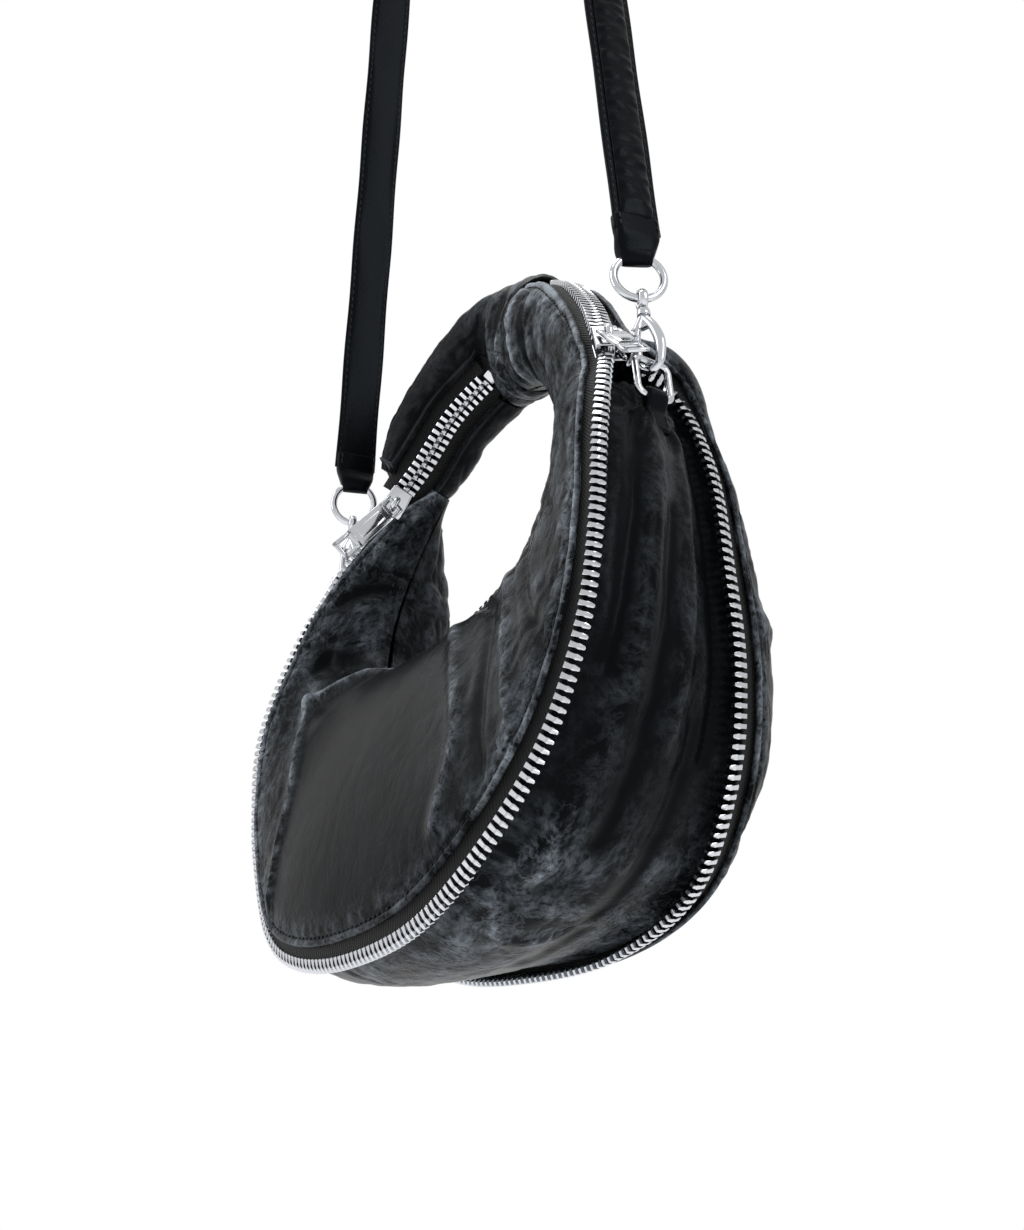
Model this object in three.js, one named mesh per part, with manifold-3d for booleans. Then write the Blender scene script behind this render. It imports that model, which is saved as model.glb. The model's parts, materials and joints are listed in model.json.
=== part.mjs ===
// Small ring-shaped shoulder bag: a padded leather ring with a hand hole, zipped round its outside.
// The zip is open round both sides and the bottom, and shows an expansion gusset between its two rows.
// Millimetres, +Z up, X along the bag from its left end to its right end, Y towards its back.
// It is built about the middle of the line through the two end links, then moved so that the origin
// is the top of the strap's loop, where it is held.
import * as THREE from 'three';
import { mergeVertices } from 'three/addons/utils/BufferGeometryUtils.js';
import Module from 'manifold-3d';

const wasm = await Module();
wasm.setup();

// Bag: the sizes that its outlines are shares of
const bagHalfWidth = 125;
const bagDropHeight = 180;
const gussetWidth = 72;
const leatherThickness = 2;
const liningThickness = 0.8;
const liningGap = 1.2;

// Gaps between pieces that touch, and the overrun of a cut
const layerGap = 0.3;
const touchGap = 0.3;
const cutOverrun = 1;

// Zip
const toothPitch = 3.2;
const toothLength = 2.8;
const beadWidth = 1.6;
const toothThickness = 3;
const tapeThickness = 0.8;
const tapeShownWidth = 7;
const tapeTuckedWidth = 4;
const tapeEdgeGap = 1.4;
const stopLength = 4;

// Sliders and their pullers
const sliderLength = 14;
const sliderWidth = 11;
const sliderWallThickness = 1.2;
const sliderRunClearance = 0.8;
const sliderSlotClearance = 0.9;
const sliderTravelLength = 6;
const dividerLength = 3.5;
const dividerWidth = 2.4;
const bailLength = 7;
const bailHeight = 3.8;
const bailWidth = 2.4;
const bailThickness = 1.1;
const pullerLength = 33;
const pullerWidth = 9;
const pullerThickness = 1.4;
const pullerEndWidth = 1.8;
const pullerEyeLength = 4;
const pullerEyeWidth = 5.8;
const pullerSlotLength = 7;
const pullerSlotWidth = 3.4;
const pullerCornerRadius = 1.5;

// Gusset
const gussetThickness = 1.6;
const gussetTuckWidth = 5;
const gussetDive = 36;
const gussetGap = 1.8;
const gussetReachShare = 0.3;

// Handle
const sleeveHalfWidth = 19.5;
const sleeveHalfThickness = 13;
const sleeveSlitWidth = 17;
const coreClearance = 2.4;

// Rings, links and hooks
const ringWireDiameter = 2.5;
const ringOuterDiameter = 20;
const linkWireDiameter = 2.6;
const linkWidth = 17;
const linkHeight = 16;
const linkCornerRadius = 4;
const hookWireDiameter = 2.8;
const hookHalfWidth = 4.6;
const hookArmHeight = 19.2;
const hookBodyThickness = 3.8;
const hookBodyFoot = 15.8;
const windowWallThickness = 0.9;
const gateDiameter = 2.6;
const gateHingeHeight = 17.3;
const gateNeckLength = 3.2;
const gateNeckThickness = 1.8;
const gateKnuckleDiameter = 3;
const gatePinDiameter = 1;
const eyeWireDiameter = 1.9;
const eyeInnerDiameter = 3.8;
const postDiameter = 2.2;
const postHeadDiameter = 3.6;
const postHeadThickness = 1.2;
const collarHeight = 2.4;
const collarDiameter = 4.8;

// Leather loops that hold the links, and strap tabs that hold the rings
const loopWidth = 8.4;
const loopThickness = 1.4;
const loopTailLength = 13;
const tabWidth = 13;
const tabNeckWidth = 9.5;
const tabThickness = 1.6;
const tabTailLength = 20;
const tabGap = 0.8;

// Strap
const strapWidth = 18;
const strapThickness = 2;
const strapPadWidth = 12;
const strapPadThickness = 2;
const strapPadMargin = 6;
const strapLapLength = 13;
const strapHoldRadius = 57.5;
const strapHoldHeight = 456;
const strapHoldOffset = -6.5;
const strapEndTurn = 10;

// Stations run round the hand hole, from the left slider, under the bag, to the right slider and up the
// right half of the handle. Each place is [X share of bagHalfWidth, Y share of gussetWidth, Z share of bagDropHeight].
const frontRowShares = [
  [-0.608, 0.111, 0.106], [-0.728, -0.139, -0.067], [-0.832, -0.306, -0.233], [-0.888, -0.444, -0.439],
  [-0.856, -0.486, -0.631], [-0.776, -0.514, -0.775], [-0.616, -0.569, -0.911], [-0.4, -0.611, -0.983],
  [-0.064, -0.653, -1.011], [0.36, -0.694, -0.983], [0.688, -0.708, -0.883], [0.912, -0.653, -0.728],
  [1.024, -0.597, -0.544], [1.032, -0.528, -0.356], [0.976, -0.431, -0.167], [0.904, -0.306, -0.028],
  [0.808, -0.167, 0.083], [0.64, -0.042, 0.228], [0.416, 0.111, 0.367], [0.176, 0.278, 0.456],
];
const backRowShares = [
  [-0.608, 0.111, 0.106], [-0.736, 0.306, -0.033], [-0.832, 0.417, -0.222], [-0.872, 0.403, -0.439],
  [-0.84, 0.361, -0.631], [-0.76, 0.361, -0.783], [-0.6, 0.361, -0.922], [-0.4, 0.347, -0.989],
  [-0.064, 0.333, -1.017], [0.372, 0.354, -1.006], [0.704, 0.368, -0.917], [0.908, 0.319, -0.744],
  [0.984, 0.278, -0.558], [0.976, 0.25, -0.358], [0.92, 0.257, -0.158], [0.84, 0.174, 0],
  [0.808, -0.167, 0.083], [0.64, -0.042, 0.228], [0.416, 0.111, 0.367], [0.176, 0.278, 0.456],
];
const holeSeamShares = [
  [-0.488, 0.236, 0.056], [-0.528, 0.139, -0.078], [-0.536, 0.056, -0.2], [-0.512, 0, -0.289],
  [-0.448, -0.056, -0.339], [-0.368, -0.083, -0.356], [-0.272, -0.097, -0.361], [-0.16, -0.097, -0.356],
  [-0.04, -0.097, -0.35], [0.104, -0.097, -0.333], [0.24, -0.097, -0.3], [0.352, -0.083, -0.256],
  [0.432, -0.069, -0.189], [0.48, -0.056, -0.117], [0.488, -0.028, -0.033], [0.464, 0.028, 0.05],
  [0.408, 0.083, 0.111], [0.328, 0.139, 0.167], [0.232, 0.194, 0.217], [0.096, 0.25, 0.25],
];
// How the panels swell between the hole seam and the zip: [station, reach at the seam, reach at the zip,
// lean at the seam, lean at the zip], reaches as shares of gussetWidth and leans as sines
const frontPuffShares = [
  [0, 0.06, 0.06, 0.1, 0], [2.5, 0.14, 0.22, 0.2, 0.88], [5, 0.38, 0.4, 0.3, 0.9], [8, 0.34, 0.5, 0.3, 0.78],
  [11, 0.1, 0.34, 0.3, 0.55], [14, 0.04, 0.2, 0.3, 0.5], [16, 0.12, 0.17, 0.1, 0], [19, 0.25, 0.25, 0.1, 0],
];
const backPuffShares = [
  [0, 0.3, 0.3, 0.1, -0.2], [2, 0.3, 0.45, 0.1, 0], [4, 0.4, 0.55, 0.3, 0.1], [8, 0.4, 0.58, 0.3, 0.15],
  [12, 0.4, 0.74, 0.3, -0.2], [15, 0.35, 0.52, 0.2, -0.2], [17, 0.26, 0.26, 0.1, 0], [19, 0.25, 0.25, 0.1, 0],
];
// How far the gusset bows out between its edges: [station, share of gussetWidth]
const gussetCrownShares = [
  [0, 0.04], [1.2, 0.11], [2, 0.1], [5, 0.05], [9, 0.05], [12, 0.08], [14.6, 0.05], [15.4, 0],
];
// Middle line of the handle's left half, from the top of the handle to the left slider, in the same shares
const sleeveLineShares = [
  [0.128, 0.278, 0.361], [-0.032, 0.361, 0.4], [-0.216, 0.389, 0.417], [-0.432, 0.306, 0.328],
  [-0.56, 0.236, 0.211], [-0.64, 0.167, 0.128],
];
// The way that the zip faces on the handle's left half, and how far it turns off the sleeve's middle
const sleeveZipFacing = new THREE.Vector3(0.79, -0.53, -0.32);
const sleeveZipTurns = [-24, 0];
const sleeveEnds = [0.05, 0.96];
const coreEnds = [0.05, 0.84];
// The sleeve's width along it: [share of its length, share of sleeveHalfWidth]
const sleeveWidthShares = [[0, 1.12], [0.3, 1.1], [0.65, 0.92], [1, 0.6]];
const sleeveStopShare = 0.4;
const slitClosingShare = 0.1;

// Where each link's loop is sewn to the gusset: [station, share of the way from front to back]
const loopPlaceShares = { left: [1.35, 0.47], right: [14.75, 0.47] };
// Turns of the hanging pieces about their own line, as headings in degrees from +X towards +Y
const linkHeading = 94;
const ringHeading = 65;
const hookHeading = 20;

// Outline of a hook's arm and bow: [X share of hookHalfWidth, height share of hookArmHeight]
const hookArmShares = [[0.1, 1], [0.8, 0.76], [1, 0.42], [0.78, 0.13], [0, 0], [-0.68, 0.11], [-0.85, 0.28]];
const hookBodyShares = [[-0.42, 1], [0.42, 1], [1, 0], [-1.2, 0]];

const lastStation = frontRowShares.length - 1;
const sliderStations = { left: 0, right: 16 };
const pullerYaws = { left: -16, right: 4 };
const pullerRises = { left: 22, right: 14 };
// How far the closed stretch of zip runs up the right half of the handle
const rightChainEnd = 18.5;

const leather = { color: 0x15161a, roughness: 0.45, metalness: 0 };
const twill = { color: 0x1b1c20, roughness: 0.85, metalness: 0 };
const lining = { color: 0x202124, roughness: 0.9, metalness: 0 };
const foam = { color: 0x3a3b3e, roughness: 1, metalness: 0 };
const steel = { color: 0xc9cbd0, roughness: 0.22, metalness: 1 };

// Places and directions

function place(shares) {
  return new THREE.Vector3(shares[0] * bagHalfWidth, shares[1] * gussetWidth, shares[2] * bagDropHeight);
}

function curveThrough(shares) {
  return new THREE.CatmullRomCurve3(shares.map(place), false, 'catmullrom', 0.5);
}

const frontRow = curveThrough(frontRowShares);
const backRow = curveThrough(backRowShares);
const holeSeam = curveThrough(holeSeamShares);
const sleeveLine = curveThrough(sleeveLineShares);

function atStation(curve, station) {
  return curve.getPoint(THREE.MathUtils.clamp(station / lastStation, 0, 1));
}

// A row of the zip at a station: past the right slider both rows are one closed chain
function rowAt(row, station) {
  const own = atStation(row, station);
  if (station <= sliderStations.right) return own;
  return atStation(frontRow, station).lerp(atStation(backRow, station), 0.5);
}

// A row of keys read at a station, eased between the two nearest
function keyedAt(keys, station) {
  const next = Math.max(1, keys.findIndex((key) => key[0] >= station));
  const [from, to] = [keys[next - 1], keys[next]];
  const ease = THREE.MathUtils.smoothstep(station, from[0], to[0]);
  return from.slice(1).map((value, index) => THREE.MathUtils.lerp(value, to[index + 1], ease));
}

// The direction that the ring runs in at a station
function runAt(station) {
  const step = 0.05;
  const middle = (s) => atStation(frontRow, s).add(atStation(backRow, s)).add(atStation(holeSeam, s));
  return middle(Math.min(station + step, lastStation)).sub(middle(Math.max(station - step, 0))).normalize();
}

// The first station past a given one, forwards or backwards, that lies a given length from it on a row
function stationAway(station, length, way) {
  const step = 0.005;
  const start = rowAt(frontRow, station);
  let away = station;
  while (rowAt(frontRow, away).distanceTo(start) < length) away += way * step;
  return away;
}

// A panel's section at a station: a cubic from the hole seam to the row, swelling to one side
function sectionAt(station, row, puffs, side) {
  const seam = atStation(holeSeam, station);
  const edge = rowAt(row, station);
  const run = runAt(station);
  const swellOf = (out) => new THREE.Vector3().crossVectors(out, run).normalize().multiplyScalar(side);
  const out = edge.clone().sub(seam).normalize();
  const swell = swellOf(out);
  const seamOut = rowAt(frontRow, station).lerp(rowAt(backRow, station), 0.5).sub(seam).normalize();
  const [seamReach, edgeReach, seamLean, edgeLean] = keyedAt(puffs, station);
  const upright = (sine) => Math.sqrt(1 - sine * sine);
  const first = seam.clone().addScaledVector(seamOut, seamLean * seamReach * gussetWidth)
    .addScaledVector(swellOf(seamOut), upright(seamLean) * seamReach * gussetWidth);
  const second = edge.clone().addScaledVector(out, -edgeLean * edgeReach * gussetWidth)
    .addScaledVector(swell, upright(edgeLean) * edgeReach * gussetWidth);
  return new THREE.CubicBezierCurve3(seam, first, second, edge);
}

const front = { sectionOf: (station) => sectionAt(station, frontRow, frontPuffShares, 1), facing: -1 };
const back = { sectionOf: (station) => sectionAt(station, backRow, backPuffShares, -1), facing: 1 };
[front, back].forEach((panel) => {
  panel.surface = (station, share) => panel.sectionOf(station).getPoint(share);
});

// Share of a section that lies a given length before its zip edge
function shareBefore(section, length) {
  return section.getUtoTmapping(Math.max(0, 1 - length / section.getLength()));
}

// A surface's outward normal
function normalOn(surface, facing, a, b) {
  const step = 0.01;
  const alongA = surface(a + step, b).sub(surface(a - step, b));
  const alongB = surface(a, b + step).sub(surface(a, b - step));
  return alongA.cross(alongB).normalize().multiplyScalar(facing);
}

function heading(degrees) {
  const turn = THREE.MathUtils.degToRad(degrees);
  return new THREE.Vector3(Math.cos(turn), Math.sin(turn), 0);
}

// A frame whose Z axis is given and whose X axis lies as near as it can to another direction
function frameOf(origin, side, up) {
  const z = up.clone().normalize();
  const x = side.clone().addScaledVector(z, -side.dot(z)).normalize();
  const y = new THREE.Vector3().crossVectors(z, x);
  return new THREE.Matrix4().makeBasis(x, y, z).setPosition(origin);
}

// Solids from grids, surfaces and bars

function facingOut(positions, index) {
  let volume = 0;
  const point = (k) => new THREE.Vector3().fromArray(positions, 3 * index[k]);
  for (let k = 0; k < index.length; k += 3) volume += point(k).dot(point(k + 1).cross(point(k + 2)));
  if (volume < 0) for (let k = 0; k < index.length; k += 3) [index[k], index[k + 1]] = [index[k + 1], index[k]];
  const geometry = new THREE.BufferGeometry();
  geometry.setAttribute('position', new THREE.Float32BufferAttribute(positions, 3));
  geometry.setIndex(index);
  return geometry;
}

// A closed solid between two grids of points
function solidFromGrids(outer, inner) {
  const rows = outer.length;
  const columns = outer[0].length;
  const positions = [];
  [outer, inner].forEach((grid) => grid.forEach((row) => row.forEach((p) => positions.push(p.x, p.y, p.z))));
  const index = [];
  const at = (layer, i, j) => layer * rows * columns + i * columns + j;
  const quad = (a, b, c, d) => index.push(a, b, c, a, c, d);
  for (let i = 0; i < rows - 1; i += 1) {
    for (let j = 0; j < columns - 1; j += 1) {
      quad(at(0, i, j), at(0, i, j + 1), at(0, i + 1, j + 1), at(0, i + 1, j));
      quad(at(1, i, j), at(1, i + 1, j), at(1, i + 1, j + 1), at(1, i, j + 1));
    }
    quad(at(0, i, 0), at(0, i + 1, 0), at(1, i + 1, 0), at(1, i, 0));
    quad(at(0, i, columns - 1), at(1, i, columns - 1), at(1, i + 1, columns - 1), at(0, i + 1, columns - 1));
  }
  for (let j = 0; j < columns - 1; j += 1) {
    quad(at(0, 0, j), at(1, 0, j), at(1, 0, j + 1), at(0, 0, j + 1));
    quad(at(0, rows - 1, j), at(0, rows - 1, j + 1), at(1, rows - 1, j + 1), at(1, rows - 1, j));
  }
  return facingOut(positions, index);
}

// A closed solid through rings of points, with flat ends or closed on itself
function solidFromRings(rings, looped = false) {
  const count = rings[0].length;
  const positions = rings.flatMap((ring) => ring.flatMap((p) => [p.x, p.y, p.z]));
  const index = [];
  for (let i = 0; i < rings.length - (looped ? 0 : 1); i += 1) {
    const next = ((i + 1) % rings.length) * count;
    for (let j = 0; j < count; j += 1) {
      const along = (j + 1) % count;
      index.push(i * count + j, i * count + along, next + along, i * count + j, next + along, next + j);
    }
  }
  const end = (rings.length - 1) * count;
  if (!looped) for (let j = 1; j < count - 1; j += 1) index.push(0, j + 1, j, end, end + j, end + j + 1);
  return facingOut(positions, index);
}

// A slab of leather or cloth: a surface between two depths, sampled on a grid
function slab(surface, facing, counts, range, outerDepth, innerDepth) {
  const layer = (depth) => Array.from({ length: counts[0] + 1 }, (_, i) =>
    Array.from({ length: counts[1] + 1 }, (__, j) => {
      const [a, b] = range(i / counts[0], j / counts[1]);
      return surface(a, b).addScaledVector(normalOn(surface, facing, a, b), -depth);
    }));
  return solidFromGrids(layer(outerDepth), layer(innerDepth));
}

// A round wire bent along a line in the XZ plane, its points given as [X, Z]
function bentWire(points, diameter, sides, looped = false) {
  const count = points.length;
  const rings = points.map((point, i) => {
    const before = looped ? points[(i + count - 1) % count] : points[Math.max(i - 1, 0)];
    const after = looped ? points[(i + 1) % count] : points[Math.min(i + 1, count - 1)];
    const run = new THREE.Vector2(after[0] - before[0], after[1] - before[1]).normalize();
    return Array.from({ length: sides }, (_, j) => {
      const angle = (2 * Math.PI * (j + 0.5)) / sides;
      const across = (diameter / 2) * Math.cos(angle);
      const aside = (diameter / 2) * Math.sin(angle);
      return new THREE.Vector3(point[0] - run.y * across, aside, point[1] + run.x * across);
    });
  });
  return solidFromRings(rings, looped);
}

// A flat outline in the XZ plane, its points given as [X, Z], thickened to both sides
function plate(shape, thickness) {
  return new THREE.ExtrudeGeometry(shape, { depth: thickness, bevelEnabled: false, curveSegments: 3 })
    .rotateX(Math.PI / 2).translate(0, thickness / 2, 0);
}

function block(from, to) {
  const size = to.map((value, axis) => value - from[axis]);
  return new THREE.BoxGeometry(...size).translate(...from.map((value, axis) => value + size[axis] / 2));
}

// A round bar along Z, or across along Y
function uprightBar(diameter, from, to, sides = 10) {
  return new THREE.CylinderGeometry(diameter / 2, diameter / 2, to - from, sides).rotateX(Math.PI / 2)
    .translate(0, 0, (from + to) / 2);
}

function crossBar(diameter, length, x, z, sides = 10) {
  return new THREE.CylinderGeometry(diameter / 2, diameter / 2, length, sides).translate(x, 0, z);
}

function circlePoints(radius, count) {
  return Array.from({ length: count }, (_, i) => {
    const angle = (2 * Math.PI * i) / count;
    return [radius * Math.cos(angle), radius * Math.sin(angle)];
  });
}

function roundedRectangle(halfWidth, halfHeight, radius) {
  const shape = new THREE.Shape();
  const [x, y] = [halfWidth - radius, halfHeight - radius];
  shape.absarc(x, y, radius, 0, Math.PI / 2).absarc(-x, y, radius, Math.PI / 2, Math.PI);
  shape.absarc(-x, -y, radius, Math.PI, 1.5 * Math.PI).absarc(x, -y, radius, 1.5 * Math.PI, 2 * Math.PI);
  return shape;
}

function addPiece(parent, name, geometry, finish) {
  const mesh = new THREE.Mesh(geometry, new THREE.MeshStandardMaterial(finish));
  mesh.name = name;
  parent.add(mesh);
  return mesh;
}

function framedGroup(parent, frame) {
  const inner = new THREE.Group();
  inner.applyMatrix4(frame);
  parent.add(inner);
  return inner;
}

// Booleans

function toSolid(geometry) {
  const plain = geometry.clone();
  plain.deleteAttribute('normal');
  plain.deleteAttribute('uv');
  const merged = mergeVertices(plain, 1e-4);
  return new wasm.Manifold(new wasm.Mesh({
    numProp: 3,
    vertProperties: new Float32Array(merged.getAttribute('position').array),
    triVerts: new Uint32Array(merged.index.array),
  }));
}

function toGeometry(solid) {
  const mesh = solid.getMesh();
  const geometry = new THREE.BufferGeometry();
  geometry.setAttribute('position', new THREE.BufferAttribute(new Float32Array(mesh.vertProperties), 3));
  geometry.setIndex(new THREE.BufferAttribute(new Uint32Array(mesh.triVerts), 1));
  return geometry;
}

const joined = (...parts) => toGeometry(parts.map(toSolid).reduce((sum, part) => sum.add(part)));
const cutBy = (base, ...cuts) => toGeometry(cuts.map(toSolid).reduce((rest, cut) => rest.subtract(cut), toSolid(base)));

const group = new THREE.Group();

// Layers, as depths below the middle of the zip's tape
const leatherDepths = [-tapeThickness / 2 - layerGap - leatherThickness, -tapeThickness / 2 - layerGap];
const tapeDepths = [-tapeThickness / 2, tapeThickness / 2];
const liningDepths = [leatherDepths[1] + liningGap, leatherDepths[1] + liningGap + liningThickness];
const pocketDepths = [liningDepths[1] + layerGap, liningDepths[1] + layerGap + liningThickness];
const gussetDepth = tapeDepths[1] + gussetGap;

// The open rows stop short of the sliders, and the closed chains begin past a slider's divider and travel
const rowStandOff = sliderLength / 2 + 2 * sliderRunClearance;
const chainStandOff = dividerLength - sliderLength / 2 + sliderTravelLength + sliderRunClearance;
const openEnds = [
  stationAway(sliderStations.left, rowStandOff, 1),
  stationAway(sliderStations.right, rowStandOff, -1),
];

// The layers are sampled at the same stations, so that their facets lie side by side
const gridRows = 40;
const gridCells = 6;
const gridEnds = [openEnds[0], lastStation - 0.03];
const stationOf = (row) => THREE.MathUtils.lerp(...gridEnds, row / gridRows);

// A layer of a panel between two rows of the grid; sharesAt gives its lines from the seam to the zip
function layer(panel, rows, sharesAt, depths) {
  const lines = sharesAt(gridEnds[0]).length - 1;
  const range = (a, b) => {
    const station = stationOf(THREE.MathUtils.lerp(...rows, a));
    return [station, sharesAt(station)[Math.round(b * lines)]];
  };
  return slab(panel.surface, panel.facing, [rows[1] - rows[0], lines], range, ...depths);
}

// Panels with their lining, and a flat pocket on the back lining
const seamShares = { leather: 0.006, lining: 0.03 };
const tuckedLength = tapeShownWidth + tapeTuckedWidth;
const liningRows = [1, 30];
const pocketRows = [14, 21];
const pocketLines = [2, 5];

function linesBetween(panel, startShare, lengthBefore) {
  return (station) => {
    const end = shareBefore(panel.sectionOf(station), lengthBefore);
    return Array.from({ length: gridCells + 1 }, (_, j) => THREE.MathUtils.lerp(startShare, end, j / gridCells));
  };
}

[['front', front], ['back', back]].forEach(([name, panel]) => {
  const inner = linesBetween(panel, seamShares.leather, tuckedLength);
  const coverLines = (station) => [...inner(station), shareBefore(panel.sectionOf(station), tapeShownWidth)];
  addPiece(group, `${name}_panel`, layer(panel, [0, gridRows], coverLines, leatherDepths), leather);
  const lines = linesBetween(panel, seamShares.lining, tuckedLength + touchGap);
  addPiece(group, `${name}_lining`, layer(panel, liningRows, lines, liningDepths), lining);
});
const pocketLinesAt = (station) =>
  linesBetween(back, seamShares.lining, tuckedLength + touchGap)(station).slice(pocketLines[0], pocketLines[1] + 1);
addPiece(group, 'inner_pocket', layer(back, pocketRows, pocketLinesAt, pocketDepths), lining);

// The handle's left half: a leather sleeve, slit for the closed stretch of the zip, over a soft core
function sleeveFrame(share) {
  const centre = sleeveLine.getPoint(share);
  const run = sleeveLine.getTangent(share);
  const face = sleeveZipFacing.clone().addScaledVector(run, -sleeveZipFacing.dot(run)).normalize();
  const outer = new THREE.Vector3().crossVectors(run, face).normalize();
  return { centre, run, face, outer };
}

function halfWidthAt(share) {
  return sleeveHalfWidth * keyedAt(sleeveWidthShares, THREE.MathUtils.clamp(share, 0, 1))[0];
}

function sleeveSurface(inset) {
  return (share, angle) => {
    const { centre, face, outer } = sleeveFrame(THREE.MathUtils.clamp(share, 0, 1));
    return centre.addScaledVector(face, (sleeveHalfThickness - inset) * Math.cos(angle))
      .addScaledVector(outer, (halfWidthAt(share) - inset) * Math.sin(angle));
  };
}

const sleeve = { facing: -1, surface: sleeveSurface(0) };
const sleeveTurnAt = (share) => THREE.MathUtils.degToRad(THREE.MathUtils.lerp(...sleeveZipTurns, share));

// Half the slit's angle: open along the zip, closed above its stop
function slitAngle(share) {
  const top = sleeveStopShare - (stopLength + 2 * touchGap) / sleeveLine.getLength();
  const open = THREE.MathUtils.smoothstep(share, top - slitClosingShare, top);
  return THREE.MathUtils.lerp(touchGap, sleeveSlitWidth, open) / 2 / halfWidthAt(share);
}

addPiece(group, 'handle_sleeve', slab(sleeve.surface, sleeve.facing, [12, 14], (a, b) => {
  const share = THREE.MathUtils.lerp(...sleeveEnds, a);
  const gap = slitAngle(share);
  return [share, sleeveTurnAt(share) + THREE.MathUtils.lerp(gap, 2 * Math.PI - gap, b)];
}, ...leatherDepths), leather);

const coreSurface = sleeveSurface(toothThickness / 2 + coreClearance);
const coreRows = 8;
const coreSides = 12;
addPiece(group, 'handle_core', solidFromRings(Array.from({ length: coreRows + 1 }, (_, i) =>
  Array.from({ length: coreSides }, (__, j) =>
    coreSurface(THREE.MathUtils.lerp(...coreEnds, i / coreRows), (2 * Math.PI * j) / coreSides)))), foam);

// The zip
const rowHalfWidth = (beadWidth + toothLength) / 2;
const chainHalfWidth = beadWidth + toothLength / 2;

// Points half a tooth pitch apart along a line, from a gap to a gap
function pitchSteps(pointAt, from, to) {
  const samples = 600;
  const shareOf = (i) => THREE.MathUtils.lerp(from, to, i / samples);
  const points = Array.from({ length: samples + 1 }, (_, i) => pointAt(shareOf(i)));
  const lengths = [0];
  for (let i = 1; i <= samples; i += 1) lengths.push(lengths[i - 1] + points[i].distanceTo(points[i - 1]));
  const count = Math.floor(lengths[samples] / toothPitch);
  return Array.from({ length: 2 * count + 1 }, (_, k) => {
    const length = (k * toothPitch) / 2;
    const next = Math.max(1, lengths.findIndex((value) => value >= length));
    const share = (length - lengths[next - 1]) / (lengths[next] - lengths[next - 1]);
    return {
      share: shareOf(next - 1 + share),
      point: points[next - 1].clone().lerp(points[next], share),
      run: points[next].clone().sub(points[next - 1]).normalize(),
    };
  });
}

// A comb along those points: one convex outline for each pitch, as thick as the teeth, which point up,
// and down too where low has a tip
function combSolid(steps, reachAt, high, low) {
  const positions = [];
  const triangle = (...corners) => corners.forEach((p) => positions.push(p.x, p.y, p.z));
  const frames = steps.map(({ share, point, run }) => {
    const reach = reachAt(share);
    reach.addScaledVector(run, -reach.dot(run)).normalize();
    return { point, reach, face: new THREE.Vector3().crossVectors(run, reach) };
  });
  const corner = ({ point, reach, face }, across) => [0.5, -0.5].map((side) => point.clone()
    .addScaledVector(reach, across).addScaledVector(face, side * toothThickness));
  for (let k = 0; k + 2 < frames.length; k += 2) {
    const [before, tooth, after] = frames.slice(k, k + 3);
    const lowTip = low.tip === undefined ? [] : [corner(tooth, low.tip)];
    const outline = [corner(before, high.root), corner(tooth, high.tip), corner(after, high.root),
      corner(after, low.root), ...lowTip, corner(before, low.root)];
    outline.forEach((here, i) => {
      const next = outline[(i + 1) % outline.length];
      const shared = (i === 2 && k + 4 < frames.length) || (i === outline.length - 1 && k > 0);
      if (!shared) {
        triangle(here[0], next[1], next[0]);
        triangle(here[0], here[1], next[1]);
      }
      if (i > 0 && i < outline.length - 1) {
        triangle(outline[0][0], here[0], next[0]);
        triangle(outline[0][1], next[1], here[1]);
      }
    });
  }
  const soup = new THREE.BufferGeometry();
  soup.setAttribute('position', new THREE.Float32BufferAttribute(positions, 3));
  const merged = mergeVertices(soup, 1e-3);
  return facingOut([...merged.getAttribute('position').array], [...merged.index.array]);
}

const openRow = { high: { root: beadWidth - rowHalfWidth, tip: rowHalfWidth }, low: { root: -rowHalfWidth } };
const closedChain = {
  high: { root: chainHalfWidth - toothLength / 2, tip: chainHalfWidth },
  low: { root: toothLength / 2 - chainHalfWidth, tip: -chainHalfWidth },
};
[['front', front], ['back', back]].forEach(([name, panel]) => {
  const edge = (station) => panel.sectionOf(station).getPoint(1);
  const reachAt = (station) => panel.sectionOf(station).getTangent(1);
  const comb = combSolid(pitchSteps(edge, ...openEnds), reachAt, openRow.high, openRow.low);
  addPiece(group, `${name}_teeth`, comb, steel);
  const lines = (station) => {
    const closing = THREE.MathUtils.smoothstep(station, openEnds[1] - 2, openEnds[1] - 0.6);
    const half = THREE.MathUtils.lerp(rowHalfWidth, chainHalfWidth, closing);
    return [tuckedLength, tapeShownWidth, half + tapeEdgeGap].map((length) => shareBefore(panel.sectionOf(station), length));
  };
  addPiece(group, `${name}_tape`, layer(panel, [0, gridRows], lines, tapeDepths), twill);
});

// The closed stretches: up the right half of the handle, and up the left half to a stop at its fold
const rightChainStart = stationAway(sliderStations.right, chainStandOff, 1);
const rightZip = (station) => rowAt(frontRow, station);
const rightZipReach = (station) => front.sectionOf(station).getTangent(1);
addPiece(group, 'right_chain', combSolid(pitchSteps(rightZip, rightChainStart, rightChainEnd), rightZipReach,
  closedChain.high, closedChain.low), steel);

const leftZip = (share) => sleeve.surface(share, sleeveTurnAt(share));

function leftZipReach(share) {
  const angle = sleeveTurnAt(share);
  const step = 0.02;
  return sleeve.surface(share, angle + step).sub(sleeve.surface(share, angle - step)).normalize();
}

// A stop clamped across a chain's end
function addStop(name, point, run, reach) {
  const holder = framedGroup(group, frameOf(point, reach, run));
  const half = [chainHalfWidth - touchGap, toothThickness / 2];
  addPiece(holder, name, block([-half[0], -half[1], touchGap], [half[0], half[1], touchGap + stopLength]), steel);
}

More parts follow.
